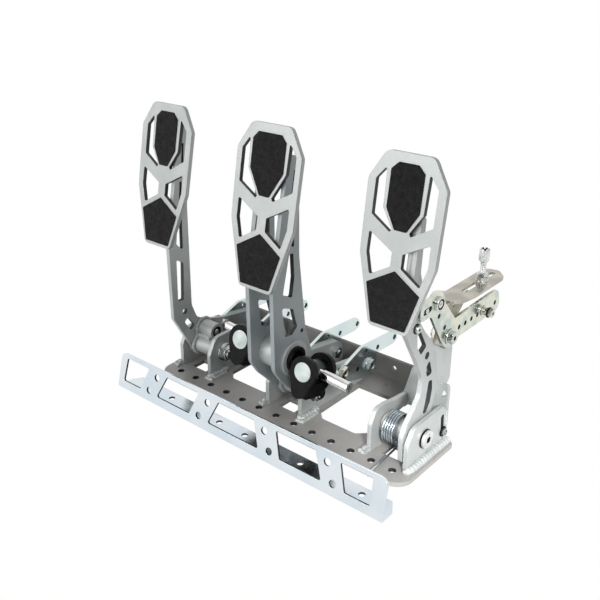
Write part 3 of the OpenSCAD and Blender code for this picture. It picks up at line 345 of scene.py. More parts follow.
polished = turned_metal("polished_steel", "#DADBD8", "#E8E8E4", 0.1)
faced = turned_metal("faced_steel", "#DDE0E0", "#ECEDEA", 0.42)
milled = turned_metal("milled_steel", "#A9B4B2", "#BCC3BF", 0.34)
# This black is the real finish of the clevises, seals and washers, and is also painted as shade
# into sockets, dishes, grooves and bores.
black_and_painted_shade = turned_metal("blackened_steel_and_painted_shade", "#0A0A0A", "#141313", 0.4, 0.0, 0.12)
# Steel painted dark, as the shade on the trunnions' sides.
trunnion_painted_shade = turned_metal("trunnion_painted_shade", "#35383A", "#4A4C4C", 0.3)
bronze = turned_metal("bearing_bronze", "#8C6A34", "#A07C42", 0.34)
print("turned finishes", polished.name, black_and_painted_shade.name, bronze.name)

# %% [markdown]
# The grip tape is black silicon carbide grit, half a millimetre across, glued to the pad. Grains
# stand up at all angles, so a few of them catch the light while most of the face stays black. The
# grains are drawn at 0.9 mm, because finer ones would vanish between the pixels.

# %% Grip tape
def grip_grit(name):
    material = blank(name)
    place = add(material, "ShaderNodeTexCoord").outputs["Object"]
    grit = add(material, "ShaderNodeTexVoronoi", {"Scale": grain_size(0.9)}, {"Vector": place})
    tone = two_tones(material, grit.outputs["Color"], 0.2, 0.98, "#0C0C0C", "#212121")
    bump = add(material, "ShaderNodeBump", {"Strength": 0.9, "Distance": 0.35 * MM},
               {"Height": grit.outputs["Distance"]})
    shader = add(material, "ShaderNodeBsdfPrincipled", {"IOR": 1.5, "Specular IOR Level": 0.3},
                 {"Base Color": tone, "Normal": bump.outputs[0],
                  "Roughness": spread(material, noise(material, 5, 4.0, place), 0.8, 1.0)})
    return show(material, shader)


grit = grip_grit("black_grit_tape")
print("grip tape", grit.name)

# %% [markdown]
# Every carried over node takes the finish of its material slot. The slots say which real finish a
# piece has, so one table is enough.

# %% Finishes for the carried over nodes
# The beam's slot takes the coat that is painted darker as shade.
slot_finish = {"powder": coat, "beam": beam_painted_shade_coat, "zinc": zinc, "bolts": fastener_zinc,
               "chrome": polished, "black": black_and_painted_shade, "grip": grit, "bronze": bronze,
               "spring": spring_wire}
node_slot = {s["node"]: s["material_slot"] for s in frame["record"]["subparts"]}
node_body = {n: body for body, members in frame["record"]["behaviour"]["bodies"].items()
             for n in members}
for node_name, node_object in nodes.items():
    node_object.data.materials.clear()
    node_object.data.materials.append(slot_finish[node_slot[node_name]])
print("finished", len(nodes), "nodes")


def stands_for(piece, *replaced):
    """The piece takes the place and the body of the nodes that it replaces, and hides them."""
    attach(piece, node_body[replaced[0]])
    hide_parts(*replaced)
    print(piece.name, "for", ", ".join(replaced), "with", len(piece.data.polygons), "faces")
    return piece


# %% [markdown]
# The flat plates were cut by laser and then coated, so their edges are rounded by about half a
# millimetre. A copy of each node is merged and bevelled. Before that, the walls of its windows and
# holes are told from its outer rim, so that they can be painted dark as shade: they form strips of
# faces of their own, and the rim is the strip with the largest box.

# %% Walls of the windows and holes
def wall_strips(mesh):
    """Groups the faces of a plate into smooth patches, then joins all but the two largest."""
    edge_faces = {}
    for face in mesh.polygons:
        for key in face.edge_keys:
            edge_faces.setdefault(key, []).append(face.index)
    parent = list(range(len(mesh.polygons)))

    def root(i):
        while parent[i] != i:
            parent[i] = parent[parent[i]]
            i = parent[i]
        return i

    normals = [face.normal.copy() for face in mesh.polygons]
    pairs = [pair for pair in edge_faces.values() if len(pair) == 2]
    for a, b in pairs:
        if normals[a].dot(normals[b]) > 0.9:
            parent[root(a)] = root(b)
    areas = {}
    for face in mesh.polygons:
        areas[root(face.index)] = areas.get(root(face.index), 0) + face.area
    flats = set(sorted(areas, key=areas.get)[-2:])
    flat_face = [root(i) in flats for i in range(len(parent))]
    for a, b in pairs:
        if not flat_face[a] and not flat_face[b]:
            parent[root(a)] = root(b)
    strips = {}
    for face in mesh.polygons:
        if not flat_face[face.index]:
            strips.setdefault(root(face.index), []).append(face.index)
    return list(strips.values())


def reach(mesh, faces):
    """Size of the box around some faces, in mm."""
    points = [mesh.vertices[v].co for f in faces for v in mesh.polygons[f].vertices]
    low = [min(p[i] for p in points) for i in range(3)]
    high = [max(p[i] for p in points) for i in range(3)]
    return math.dist(low, high) / MM


# %% Rounded copies
def rounded_copy(node, finish, radius_mm=0.5, wall_finish=None, widest_mm=1000, picked=None):
    """A copy of a node with rounded edges, and a second finish on walls up to some width."""
    piece = copy_of(nodes[node], node + "_rounded")
    open_edit(piece)
    bpy.ops.mesh.select_all(action="SELECT")
    bpy.ops.mesh.remove_doubles(threshold=2e-6)
    close_edit()
    bpy.ops.mesh.customdata_custom_splitnormals_clear()
    piece.data.materials.clear()
    finish_in(piece, finish)
    if wall_finish is not None:
        finish_in(piece, wall_finish)
    if wall_finish is not None and picked is None:
        strips = wall_strips(piece.data)
        rim = max(strips, key=lambda faces: reach(piece.data, faces))
        for strip in strips:
            if strip is not rim and reach(piece.data, strip) < widest_mm:
                for index in strip:
                    piece.data.polygons[index].material_index = 1
    if picked is not None:
        for face in piece.data.polygons:
            face.material_index = int(picked(face.center / MM, face.normal))
    open_edit(piece)
    bpy.ops.mesh.select_all(action="SELECT")
    bpy.ops.mesh.dissolve_limited(angle_limit=math.radians(1), delimit={"MATERIAL"})
    close_edit()
    bevel = piece.modifiers.new("edge", "BEVEL")
    bevel.width = radius_mm * MM
    bevel.segments = 2
    bevel.limit_method = "ANGLE"
    bevel.angle_limit = math.radians(40)
    bevel.material = 0
    apply_all(piece)
    smooth(piece, 40)
    flat_shading(piece)
    return stands_for(piece, node)


# The walls of the windows, slots and holes of these plates are painted dark as shade.
for node_name in ["clutch_pad", "brake_pad", "throttle_pad", "clutch_arm", "throttle_arm"]:
    rounded_copy(node_name, coat, 0.5, cut_wall_painted_shade)
# The brake arms take the coat that is painted darker as shade.
for node_name in ["brake_arm_left", "brake_arm_right"]:
    rounded_copy(node_name, brake_arm_painted_shade_coat, 0.5, cut_wall_painted_shade)
for side in ["left", "right"]:
    for bay in ["clutch_wall_", "brake_wall_", "throttle_wall_"]:
        rounded_copy(bay + side, coat, 0.6, cut_wall_painted_shade)
    rounded_copy("clutch_bracket_" + side, zinc, 0.4, zinc_cut_wall_painted_shade)
    rounded_copy("brake_bracket_" + side, zinc, 0.4, zinc_cut_wall_painted_shade)
rounded_copy("throttle_bulkhead", coat, 0.6)
# The base is painted darker as shade, and its holes' walls up to 20 mm are painted nearly black as
# shade.
rounded_copy("base_plate", base_painted_shade_coat, 0.7, cut_wall_painted_shade, 20)
rounded_copy("rear_beam", beam_painted_shade_coat, 0.5)
rounded_copy("heel_rail", rail_zinc, 0.4, zinc_cut_wall_painted_shade)
for node_name in ["bellcrank", "throttle_link"]:
    rounded_copy(node_name, link_zinc, 0.4, zinc_cut_wall_painted_shade)
rounded_copy("cable_bracket", bracket_zinc, 0.3)

# %% [markdown]
# The balance bar goes through a bearing in the tube, and carries two cross trunnions with black
# clevises. These are turned or milled pieces, so the same rounding suits them, with a wider
# chamfer on the trunnions. The far end of the bar is yellow, and the clutch's pivot tube is
# painted dark as shade where the second tube opens.

# %% Balance bar pieces
def on_end_face(centre, normal):
    """True on the round end faces of a trunnion, which lies along Y."""
    return abs(normal.y) > 0.8


for side in ["left", "right"]:
    # The trunnions' sides are painted dark as shade; only their end faces keep the milled steel.
    rounded_copy(side + "_trunnion", trunnion_painted_shade, 0.9, milled, picked=on_end_face)
    rounded_copy(side + "_clevis", black_and_painted_shade, 0.8)
rounded_copy("balance_tube", coat, 0.5)
rounded_copy("tube_seals", black_and_painted_shade, 0.5)
rounded_copy("balance_bar", polished, 0.7, yellow_zinc, picked=lambda c, n: c.x < -55)
# The pivot tube is painted dark as shade inside the opening of the second tube.
rounded_copy("clutch_pivot_tube", coat, 0.5, cut_wall_painted_shade,
             picked=lambda c, n: math.hypot(c.y - UPPER_TUBE[0], c.z - UPPER_TUBE[1]) < 6.9
             and c.x < -127)

# %% [markdown]
# Turned pieces are round about one axis. Such a piece starts as a flat disc, and each step of its
# outline is one extrusion and one change of size, as a lathe hand would call out diameters.

# %% Turned pieces, hexagons and threads
def turned(name, rings, sides=32):
    """A round piece about Z. Rings are radius and height, in mm."""
    clear()
    bpy.ops.mesh.primitive_circle_add(vertices=sides, radius=rings[0][0] * MM, fill_type="NGON",
                                      location=(0, 0, rings[0][1] * MM))
    piece = bpy.context.object
    piece.name = name
    open_edit(piece)
    bpy.ops.mesh.select_all(action="SELECT")
    for (before, low), (after, high) in zip(rings, rings[1:]):
        bpy.ops.mesh.extrude_region_move(
            TRANSFORM_OT_translate={"value": (0, 0, (high - low) * MM)})
        bpy.ops.transform.resize(value=(after / before, after / before, 1),
                                 center_override=(0, 0, high * MM))
    close_edit()
    only(piece)
    bpy.ops.object.transform_apply(location=True, rotation=True, scale=True)
    outward(piece)
    return piece


def hexagon(name, corners_mm, height, both=True):
    """A hexagon whose corners are turned down to a cone at its top, or at both faces."""
    r = corners_mm / 2
    drop = 0.11 * r
    low = [(0.83 * r, 0), (1.02 * r, drop)] if both else [(1.02 * r, 0)]
    lens = turned(name + "_lens", low + [(1.02 * r, height - drop), (0.83 * r, height)], 48)
    return cut(turned(name, [(r, -0.01), (r, height + 0.01)], 6), lens, "INTERSECT")


def thread(name, d, length, pitch=1.25):
    """A threaded rod end: grooves one pitch apart, and a chamfered tip."""
    r = d / 2
    rings = [(r - 0.3 * pitch, 0)]
    for k in range(int(length / pitch - 0.5)):
        rings += [(r, (k + 0.5) * pitch), (r - 0.5 * pitch, (k + 1) * pitch)]
    return turned(name, rings + [(r - 0.5, length - 0.7), (r - 1.2, length)], 28)


def screw_set(name, pieces, finish=fastener_zinc):
    """Joins small pieces, each keeping its own finish where it has one."""
    for piece in pieces:
        if not piece.data.materials:
            finish_in(piece, finish)
    result = joined(name, pieces)
    smooth(result, 32)
    return result


print("helpers for turned pieces ready")

# %% [markdown]
# The bracket bolts are eight times the same: a washer, a hexagon head dished in its middle, and on
# the inner side a nut with a bit of thread through it. One of each is made and copied to its place.

# %% Bracket bolts and nuts
def dished(piece, corners_mm, depth_mm):
    """Sinks a round dish into the top face of a hexagon, and paints the floor of the dish black as
    shade.
    """
    top = max(v.co.z for v in piece.data.vertices)
    r = 0.5 * corners_mm
    tool = turned("dish", [(0.4 * r, top / MM - depth_mm), (0.52 * r, top / MM + 0.2)], 32)
    cut(piece, tool)
    finish_in(piece, fastener_zinc)
    # The floor of the dish is painted black as shade.
    return finish_in(piece, black_and_painted_shade, lambda c, n: math.hypot(c.x, c.y) < 0.4 * r
                     and c.z < top / MM - 0.5 * depth_mm)


BRACKET_SPOTS = [(78.3, 34.9), (129.6, 22.3)]
head = dished(hexagon("bolt_head", 15, 4.2, False), 15, 1.6)
washer = turned("bolt_washer", [(8.6, 0), (8.6, 0.6), (8.3, 0.9), (4, 0.9)], 40)
nut = hexagon("bolt_nut", 15, 5.6)
tip = thread("bolt_tip", 8, 7)
bolt_pieces, nut_pieces = [], []
for x in (BAY_X["clutch"], BAY_X["brake"]):
    for side in (-1, 1):
        for spot in BRACKET_SPOTS:
            axis = (side, 0, 0)
            bolt_pieces += [
                seat(copy_of(washer, "w"), (x + side * 29.4, *spot), axis),
                seat(copy_of(head, "h"), (x + side * 30.2, *spot), axis, 11 * side),
                seat(copy_of(tip, "t"), (x + side * 20.5, *spot), (-side, 0, 0))]
            nut_pieces.append(seat(copy_of(nut, "n"), (x + side * 14.8, *spot), axis, 23))
for piece in (head, washer, nut, tip):
    bpy.data.objects.remove(piece)
stands_for(screw_set("bracket_bolt_set", bolt_pieces), "bracket_bolts")
stands_for(screw_set("bracket_nut_set", nut_pieces), "bracket_nuts")

# %% [markdown]
# The clutch and brake turn on bolts with a self locking nut: above its hexagon it has a round
# collar with a nylon ring, and the thread comes through it. The throttle's bolt runs the other
# way. Its large round head is bright; its flange, its socket and a notch are painted dark as
# shade. A black plug closes the second tube over the clutch's pivot.

# %% Pivot bolts
def locking_nut(name, corners_mm, height, bolt_d):
    r = corners_mm / 2
    washer = turned(name + "_washer", [(r + 1, 0), (r + 1, 1.1), (r + 0.6, 1.5), (r - 3, 1.5)], 48)
    body = seat(hexagon(name, corners_mm, 0.7 * height), (0, 0, 1.4))
    collar = turned(name + "_collar",
                    [(0.8 * r, 1.3 + 0.65 * height), (0.8 * r, 1.2 + 0.9 * height),
                     (0.72 * r, 1.5 + height), (0.62 * r, 1.5 + height)], 40)
    ring = turned(name + "_ring", [(0.66 * r, 1.2 + height), (0.66 * r, 1.55 + height)], 40)
    finish_in(ring, black_and_painted_shade)
    end = thread(name + "_end", bolt_d, 3.4 + height, 1.5)
    return [washer, body, collar, ring, end]


def pivot_set(name, x, side, head_pieces, *replaced):
    """A nut on one side of a bay, a head on the other."""
    parts = [seat(p, (x + side * 25.5, *PIVOT), (side, 0, 0), 12)
             for p in locking_nut(name, 20, 7, 12)]
    parts += [seat(p, (x - side * 25.4, *PIVOT), (-side, 0, 0), 4) for p in head_pieces]
    parts.append(seat(turned(name + "_shank", [(6, 0), (6, 50.8)]), (x - 25.4, *PIVOT), (1, 0, 0)))
    return stands_for(screw_set(name, parts), *replaced)


for bay in ("clutch", "brake"):
    plain_head = dished(hexagon("pivot_head", 20, 6.9, False), 20, 1.0)
    pivot_set(bay + "_pivot_bolt_set", BAY_X[bay], 1, [plain_head], bay + "_pivot_bolt",
              *(["pivot_nuts"] if bay == "clutch" else []))
round_head = turned("round_head", [(10, 0), (10, 1.6), (9.2, 1.7), (9.2, 4), (8.6, 4.5),
                                   (7.6, 4.5)], 56)
cut(round_head, seat(turned("socket", [(3.7, 0), (3.7, 4)], 6), (0, 0, 2.2), (0, 0, 1), 15))
cut(round_head, seat(turned("notch", [(1.6, 0), (1.6, 4)], 20), (5.2, 7.2, 2)))
cut(round_head, seat(turned("mark", [(0.7, 0), (0.7, 2)], 16), (-5.6, 1.2, 3.9)))
finish_in(round_head, faced)
# The socket, the notch and the flange are painted black as shade.
finish_in(round_head, black_and_painted_shade, lambda c, n: c.z < 4.3 and math.hypot(c.x, c.y) < 6.6
          or math.hypot(c.x - 5.2, c.y - 7.2) < 1.55 or c.z < 1.65)
pivot_set("throttle_pivot_bolt_set", BAY_X["throttle"], -1, [round_head], "throttle_pivot_bolt")
plug = turned("upper_tube_plug", [(6.4, 0), (6.4, 8), (6.1, 8.6), (4.6, 8.6), (4.4, 7), (3.4, 7),
                                  (3.2, 9.2), (2.8, 9.6)], 40)
finish_in(plug, black_and_painted_shade)
finish_in(plug, fastener_zinc, lambda c, n: math.hypot(c.x, c.y) < 3.3 and c.z > 7.5)
smooth(plug, 32)
seat(plug, (BAY_X["clutch"], *UPPER_TUBE), (1, 0, 0))
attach(plug, "clutch_pedal")

# %% [markdown]
# The lever, the link and the arm are held by their own small screws: a bolt with a washer and a
# nut at the lever's pivot, a large headed pin at its top, a pin and a screw on the arm, and a
# swivelling clamp for the cable.

# %% Linkage fasteners
def socketed(piece, across_mm, depth_mm):
    """A hexagon socket in the top of a head, painted dark inside as shade."""
    top = max(v.co.z for v in piece.data.vertices) / MM
    cut(piece, seat(turned("socket", [(across_mm / 2, 0), (across_mm / 2, depth_mm + 1)], 6),
                    (0, 0, top - depth_mm)))
    finish_in(piece, fastener_zinc)
    # The inside of the socket is painted black as shade.
    return finish_in(piece, black_and_painted_shade, lambda c, n: math.hypot(c.x, c.y) < 0.47 * across_mm
                     and c.z < top - 0.1)


RIGHT = (1, 0, 0)
lever_at, pin_at, clamp_at = (70, 126), (38, 173), (135.5, 129.5)
arm_pin_at, arm_screw_at = (19.5, 172), (16.4, 153.2)
lever_set = [
    seat(hexagon("lever_head", 13, 4.4, False), (148, *lever_at), (-1, 0, 0), 10),
    seat(turned("lever_spacer", [(4.5, 0), (4.5, 7.4)]), (150.9, *lever_at), RIGHT),
    seat(turned("lever_shank", [(4, 0), (4, 16)]), (147.9, *lever_at), RIGHT),
    seat(turned("lever_washer", [(8, 0), (8, 0.9), (7.6, 1.2), (4, 1.2)], 40), (161.6, *lever_at),
         RIGHT),
    seat(socketed(hexagon("lever_nut", 13, 4.4), 5, 2), (162.8, *lever_at), RIGHT, 8)]
stands_for(screw_set("lever_bolt_set", lever_set), "lever_bolt")

pin_head = turned("pin_head", [(7, 0), (7, 2.3), (6.5, 2.9), (5.3, 2.9), (5, 1.9), (3.9, 1.9),
                               (3.6, 2.6), (3, 2.9), (1.4, 2.9), (1, 2.4), (0.6, 2.4)], 48)
finish_in(pin_head, fastener_zinc)
# The groove of the pin's head and its centre dimple are painted black as shade.
finish_in(pin_head, black_and_painted_shade, lambda c, n: 3.7 < math.hypot(c.x, c.y) < 5.25 and c.z > 1.5
          or math.hypot(c.x, c.y) < 1.1)
link_set = [seat(pin_head, (164.7, *pin_at), RIGHT),
            seat(turned("pin_shank", [(4, 0), (4, 6.8)]), (158.1, *pin_at), RIGHT)]
stands_for(screw_set("link_pin_set", link_set), "link_pin")

arm_washer = turned("arm_screw_washer", [(5, 0), (5, 0.8), (4.8, 1), (3, 1)], 40)
finish_in(arm_washer, black_and_painted_shade)
arm_set = [
    seat(turned("arm_pin", [(2.45, 0), (2.45, 15.2), (2.1, 15.6)]), (149.5, *arm_pin_at), RIGHT),
    seat(turned("arm_pin_head", [(4.5, 0), (4.5, 1.6), (4.1, 2)]), (151.6, *arm_pin_at),
         (-1, 0, 0)),
    seat(arm_washer, (156.5, *arm_screw_at), RIGHT),
    seat(socketed(turned("arm_screw", [(3.9, 0), (3.9, 1.8), (3.3, 2.6), (2.4, 2.7)]), 3, 1.5),
         (157.4, *arm_screw_at), RIGHT)]
stands_for(screw_set("arm_pin_set", arm_set), "arm_pins")

clamp_body = turned("clamp_body", [(5.5, 0), (5.5, 0.9), (5.1, 1.1), (4.2, 1.2), (4.2, 6.9),
                                   (3.9, 7.6)], 40)
cut(clamp_body, seat(turned("cable_hole", [(1.1, 0), (1.1, 20)], 20), (10, 0, 4.2), (-1, 0, 0)))
clamp_washer = turned("clamp_washer", [(5.5, 0), (5.5, 1.2), (3, 1.2)], 40)
finish_in(clamp_washer, black_and_painted_shade)
clamp_set = [seat(clamp_body, (161.6, *clamp_at), RIGHT),
             seat(clamp_washer, (167.2, *clamp_at), RIGHT),
             seat(socketed(hexagon("clamp_nut", 10, 3.9), 3.6, 1.5), (168.4, *clamp_at), RIGHT, 20),
             seat(turned("clamp_shank", [(3, 0), (3, 5.6)]), (156.2, *clamp_at), RIGHT),
             seat(turned("clamp_rivet", [(4.2, 0), (4.2, 1.4), (3.6, 2.2)]), (158, *clamp_at),
                  (-1, 0, 0))]
stands_for(screw_set("cable_clamp_set", clamp_set), "cable_clamp")

# %% [markdown]
# The cable adjuster is a knurled barrel with a crown of notches on a threaded stem. Two nuts lock
# the stem over the bracket, and one holds it from below.

# %% Cable adjuster and its lock nuts
def knurled(name, r, height, ribs):
    """A barrel whose skin is drawn in at every second line to leave ribs."""
    piece = turned(name, [(0.92 * r, 0), (r, 0.4), (r, height - 0.6), (0.92 * r, height)], 2 * ribs)
    open_edit(piece, "VERT")
    bpy.ops.mesh.select_all(action="DESELECT")
    close_edit()
    for vertex in piece.data.vertices:
        line = round(math.atan2(vertex.co.y, vertex.co.x) / (math.pi / ribs))
        vertex.select = line % 2 == 0
    open_edit(piece, "VERT")
    bpy.ops.transform.resize(value=(0.9, 0.9, 1), center_override=(0, 0, 0))
    close_edit()
    return piece


UP = (0, 0, 1)
adjuster_xy = (151, 146.5)
barrel = knurled("barrel", 5.2, 12.9, 20)
cut(barrel, turned("mouth", [(3.4, 7), (3.4, 14)], 32))
for angle in (0, 60, 120):
    clear()
    bpy.ops.mesh.primitive_cube_add(size=MM, location=(0, 0, 12.9 * MM))
    slot_tool = bpy.context.object
    slot_tool.scale = (14, 1.7, 3.2)
    slot_tool.rotation_euler = (0, 0, math.radians(angle))
    bpy.ops.object.transform_apply(location=True, rotation=True, scale=True)
    cut(barrel, slot_tool)
finish_in(barrel, faced)
# The inside of the barrel's mouth is painted black as shade.
finish_in(barrel, black_and_painted_shade, lambda c, n: math.hypot(c.x, c.y) < 3.45 and c.z < 12)
neck = turned("neck", [(3.3, 0), (3.3, 2.2), (3.9, 2.6), (4.2, 3.4)], 36)
stem = thread("stem", 6, 33, 1.0)
adjuster_parts = [seat(barrel, (*adjuster_xy, 178), UP), seat(stem, (*adjuster_xy, 145), UP),
                  seat(neck, (*adjuster_xy, 174.7), UP)]
stands_for(screw_set("cable_adjuster_set", adjuster_parts, faced), "cable_adjuster")

small_heads = [seat(hexagon("lock_nut", 11.5, 3.9), (*adjuster_xy, z), UP, turn)
               for z, turn in ((150.05, 0), (157, 14), (161.2, 41))]
small_heads.append(seat(turned("lock_washer", [(6.6, 0), (6.6, 0.5)], 40), (*adjuster_xy, 157), UP))
small_heads += [seat(socketed(turned("bracket_screw", [(3, 0), (3, 1.9), (2.5, 2.5)]), 2.6, 1.4),
                     (144.5, 80.9, z), (0, 1, 0)) for z in (87, 100)]
stands_for(screw_set("bracket_screw_set", small_heads), "bracket_screws")

# %% [markdown]
# The stop bolt sits at the lower end of the slot in the right wall. It has a dark washer and a
# small bright hexagon head outside.

# %% Stop bolt
stop_at = (68.8, 20)
stop_washer = turned("stop_washer", [(5.6, 0), (5.6, 1.1), (5.2, 1.4), (2.5, 1.4)], 40)
finish_in(stop_washer, black_and_painted_shade)
stop_head = socketed(hexagon("stop_head", 7.6, 2.6), 3.2, 1.6)
stop_parts = [seat(stop_washer, (163.1, *stop_at), RIGHT),
              seat(stop_head, (164.4, *stop_at), RIGHT, 9),
              seat(turned("stop_shank", [(2.5, 0), (2.5, 11)]), (156, *stop_at), RIGHT),
              seat(turned("stop_end", [(4, 0), (4, 3.6), (3.6, 4)]), (158, *stop_at), (-1, 0, 0))]
stands_for(screw_set("stop_bolt_set", stop_parts), "stop_bolt")

# %% [markdown]
# The return spring is wound from 2.2 mm wire. Its coil hangs on the pivot tube, its front leg hooks
# over the base's edge, and its rear leg presses on the arm's rod. The wire is drawn along a line,
# which is how a wire is shown best, and made a mesh.

# %% Return spring
def drawn(name, points, radius_mm, widths=None, closed=False):
    """A wire or a bead drawn along points in mm, made a closed mesh."""
    clear()
    curve = bpy.data.curves.new(name, "CURVE")
    curve.dimensions = "3D"
    curve.bevel_depth = radius_mm * MM
    curve.bevel_resolution = 4
    curve.use_fill_caps = not closed
    line = curve.splines.new("POLY")
    line.points.add(len(points) - 1)
    for k, point in enumerate(points):
        line.points[k].co = (*(Vector(point) * MM), 1)
        line.points[k].radius = widths[k % len(widths)] if widths else 1
    line.use_cyclic_u = closed
    piece = bpy.data.objects.new(name, curve)
    bpy.context.scene.collection.objects.link(piece)
    only(piece)
    bpy.ops.object.convert(target="MESH")
    piece = bpy.context.object
    outward(piece)
    return piece


WIRE_D, COIL_R, TURNS, COIL_PITCH = 2.2, 16.5, 5, 2.8
REAR_X = BAY_X["throttle"] - 20.5 + WIRE_D / 2 + 4
FRONT_X = REAR_X + TURNS * COIL_PITCH
coil_z = PIVOT[1] - (COIL_R * math.cos(math.radians(22.5)) - WIRE_D / 2 - 11.5 - 0.3)
leg_z = coil_z - COIL_R
hook_y = -17 - WIRE_D / 2 - 0.6
rail_z = 5 + WIRE_D / 2 + 0.4
STEPS = 36
coil = []
for k in range(TURNS * STEPS + 1):
    turn = math.radians(-90 - k * 360 / STEPS)
    coil.append((FRONT_X - COIL_PITCH * k / STEPS, PIVOT[0] + COIL_R * math.cos(turn),
                 coil_z + COIL_R * math.sin(turn)))
wire_points = [(FRONT_X - 1.2, hook_y, 1.5), (FRONT_X - 0.3, hook_y, 2.3), (FRONT_X, hook_y, 3.2),
               (FRONT_X, hook_y, 4.8), (FRONT_X, hook_y + 0.3, 5.6), (FRONT_X, hook_y + 1, 6.1),
               (FRONT_X, hook_y + 2.2, rail_z), (FRONT_X, 12, 0.4 * rail_z + 0.6 * leg_z),
               (FRONT_X, 24, leg_z - 0.3)]
wire_points += coil + [(REAR_X, 48, leg_z), (REAR_X, 60.5, leg_z)]
spring = drawn("return_spring", wire_points, WIRE_D / 2)
finish_in(spring, spring_wire)
smooth(spring, 50)
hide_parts("throttle_spring")
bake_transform(spring)

# %% [markdown]
# Welds hold the walls to the base and the arms to their tubes. A bead is a row of overlapping
# drops, each about four millimetres long, and the coat lies over it, thick and satin. It is drawn
# along the joint with swelling widths, and a cloud pattern pushes it in and out a little.

# %% Weld beads
DROP_STEP = 1.1
DROP_WIDTHS = (0.86, 1.0, 1.1, 1.0)
CLOUD_SIZE = 4.5


def bead(name, points, radius_mm, body, closed=False, lump_mm=0.9):
    """A weld bead along a path that is cut into drops."""
    path = []
    ends = points + points[:1] if closed else points
    for a, b in zip(ends, ends[1:]):
        count = max(1, round(math.dist(a, b) / DROP_STEP))
        path += [tuple(Vector(a).lerp(Vector(b), k / count)) for k in range(count)]
    if not closed:
        path.append(points[-1])
    piece = drawn(name, path, radius_mm, DROP_WIDTHS, closed)
    cloud = bpy.data.textures.new(name, "CLOUDS")
    cloud.noise_scale = CLOUD_SIZE * MM
    lumps = piece.modifiers.new("lumps", "DISPLACE")
    lumps.texture = cloud
    lumps.strength = lump_mm * MM
    apply_all(piece)
    finish_in(piece, weld_coat)
    smooth(piece, 60)
    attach(piece, body)
    return piece


def ring(x, y, z, r):
    """Points about three millimetres apart on a circle round an axis along X."""
    count = round(2 * math.pi * r / 3)
    turns = [math.radians(360 * k / count) for k in range(count)]
    return [(x, y + r * math.cos(t), z + r * math.sin(t)) for t in turns]


beads = []
for name, outer, front, length in (("clutch_left", -163, 12, 24), ("clutch_right", -112, 12, 26),
                                   ("brake_left", -25.5, 12, 24), ("brake_right", 25.5, 12, 26),
                                   ("throttle_left", 112, 10, 24)):
    out = 1 if outer in (-112, 25.5) else -1
    inner = outer - 5 * out
    for row, (away, rise, thick) in enumerate(((1.6, 6.6, 3.5), (5.2, 5.1, 2.5))):
        path = [(outer + away * out, front + length - 5.3 * row, rise),
                (outer + away * out, front + 1.2 - away, rise),
                (inner + 2 * out, front - 0.5 - away, rise)]
        beads.append(bead(name + "_weld_" + str(row + 1), path, thick, "frame", lump_mm=2.2))
beads.append(bead("throttle_right_weld", [(162, 4.4, 6.6), (164.4, 6.6, 6.8), (165.3, 11, 6.8),
                                          (165.3, 76, 6.8)], 4.0, "frame", lump_mm=1.0))
beads.append(bead("throttle_weld_front", [(160.4, 3.4, 6.8), (164, 3.9, 7.2), (167.2, 8, 6.8)], 2.6,
                  "frame", lump_mm=3.6))
for outer, low in ((111.8, 32), (163.2, 7)):
    beads.append(bead("bulkhead_weld", [(outer, 74.2, low), (outer, 74.2, 43)], 1.4, "frame"))
beads.append(bead("clutch_tube_weld", ring(-150.6, *PIVOT, 12.4), 2.5, "clutch_pedal", True, 2.4))
beads.append(bead("upper_tube_weld", ring(-150.6, *UPPER_TUBE, 10.8), 2.3, "clutch_pedal", True,
                  2.2))
beads.append(bead("crease_weld", [(-150, 32, 41), (-131, 32.2, 41)], 3.2, "clutch_pedal",
                  lump_mm=3))
for x in (-12.6, 12.6):
    beads.append(bead("brake_tube_weld", ring(x, *PIVOT, 12.4), 2.4, "brake_pedal", True, 2.2))
beads.append(bead("throttle_tube_weld", ring(150.9, *PIVOT, 12.2), 1.9, "throttle_pedal", True,
                  1.4))
print("weld beads", len(beads))

# %% [markdown]
# Floor and light. The photograph was taken on white, so the floor and the world are plain white for
# the camera and in reflections. The object itself is lit by two soft lamps, a spot lamp on the
# throttle and a weak sky.

# %% White floor
def seen_white(tree_owner):
    """One where a camera, glossy or transmission ray arrives, else zero."""
    path = add(tree_owner, "ShaderNodeLightPath").outputs
    seen = add(tree_owner, "ShaderNodeMath", {"operation": "MAXIMUM"},
               {0: path["Is Camera Ray"], 1: path["Is Glossy Ray"]})
    return add(tree_owner, "ShaderNodeMath", {"operation": "MAXIMUM"},
               {0: seen.outputs[0], 1: path["Is Transmission Ray"]}).outputs[0]


def white_floor():
    material = blank("white_floor")
    white = add(material, "ShaderNodeEmission", {"Color": (1, 1, 1, 1), "Strength": 1.0})
    matte = add(material, "ShaderNodeBsdfDiffuse", {"Color": linear("#D8D8D8")})
    mix = add(material, "ShaderNodeMixShader",
              links={0: seen_white(material), 1: matte.outputs[0], 2: white.outputs[0]})
    return show(material, mix)


clear()
bpy.ops.mesh.primitive_circle_add(vertices=64, radius=4, fill_type="NGON", location=(0, 0, -0.0005))
floor = bpy.context.object
floor.name = "floor"
finish_in(floor, white_floor())

# %% Sky and lamps
world = bpy.data.worlds.new("studio")
bpy.context.scene.world = world
world.use_nodes = True
world.node_tree.nodes.clear()
level = add(world, "ShaderNodeMapRange", {"To Min": 0.16, "To Max": 1.0},
            {"Value": seen_white(world)})
sky = add(world, "ShaderNodeBackground", {"Color": (1, 1, 1, 1)}, {"Strength": level.outputs[0]})
add(world, "ShaderNodeOutputWorld", links={"Surface": sky.outputs[0]})


def placed(name, data, place, aim):
    """Puts a lamp in its place and turns it towards a point, in metres."""
    light = bpy.data.objects.new(name, data)
    light.location = place
    light.rotation_euler = (Vector(aim) - Vector(place)).to_track_quat("-Z", "Y").to_euler()
    bpy.context.scene.collection.objects.link(light)
    return light


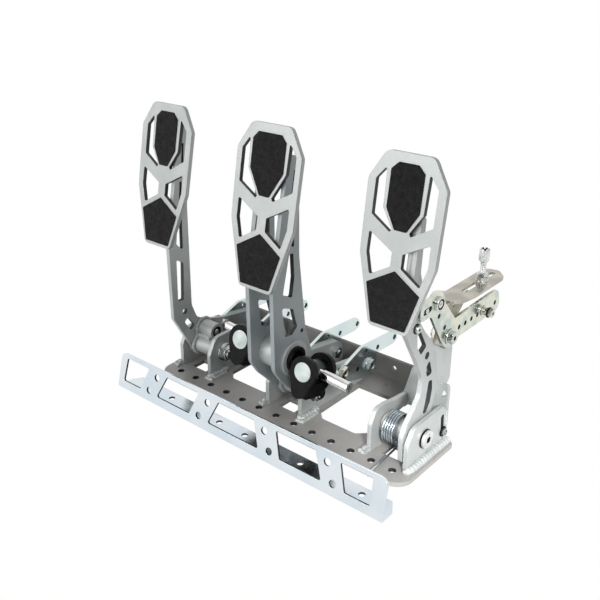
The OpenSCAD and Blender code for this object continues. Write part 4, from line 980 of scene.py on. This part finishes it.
def lamp(name, place, aim, size, watts):
    data = bpy.data.lights.new(name, "AREA")
    data.shape = "SQUARE"
    data.size = size
    data.energy = watts
    return placed(name, data, place, aim)


def soft_spot(name, place, aim, degrees, watts):
    """A lamp whose light fades out towards the edge of its cone."""
    data = bpy.data.lights.new(name, "SPOT")
    data.spot_size = math.radians(degrees)
    data.spot_blend = 1.0
    data.shadow_soft_size = 0.12
    data.energy = watts
    return placed(name, data, place, aim)


lamp("front_softbox", (-0.5, -1.42, 0.75), (0, 0, 0.15), 1.2, 17)
lamp("right_softbox", (1.1, -0.45, 0.95), (0, 0, 0.12), 0.45, 1.5)
soft_spot("throttle_spot", (0.85, -0.6, 0.6), (0.3, -0.05, 0.07), 20, 116)

# %% [markdown]
# Bright metal looks like metal only when it mirrors something dark. A studio sets black cards
# beside the object for this. These four were placed for the photograph's direction, and show in
# reflections only. One stands to the right and one in front, and one stands at the camera, which
# doesn't see it. The grey one that lies on the floor under the base is painted shade: it puts the
# shadow under the base into the reflections.

# %% Black cards
def card(name, place, aim, width, height, shade="#202224"):
    """A black card that only reflections see."""
    clear()
    bpy.ops.mesh.primitive_plane_add(size=1)
    piece = bpy.context.object
    piece.name = name
    piece.scale = (width, height, 1)
    piece.location = place
    piece.rotation_euler = (Vector(aim) - Vector(place)).to_track_quat("Z", "Y").to_euler()
    black = blank(name)
    show(black, add(black, "ShaderNodeBsdfDiffuse", {"Color": linear(shade)}))
    finish_in(piece, black)
    piece.visible_camera = False
    piece.visible_diffuse = False
    piece.visible_shadow = False
    return piece


card("card_right", (0.95, 0.1, 0.12), (0, 0, 0.1), 0.5, 0.22)
card("card_front", (0.1, -0.9, 0.1), (0, 0, 0.1), 0.8, 0.12)
# Painted shade: a grey sheet that stands for the shadow on the floor under the base, in
# reflections.
card("painted_shade_card_under_base", (-0.01, 0.069, 0.0003), (-0.01, 0.069, 1), 0.33, 0.156, "#3A3C3E")
card("card_at_camera", (0.76, -0.9, 0.56), (0, 0, 0.1), 0.9, 0.5)
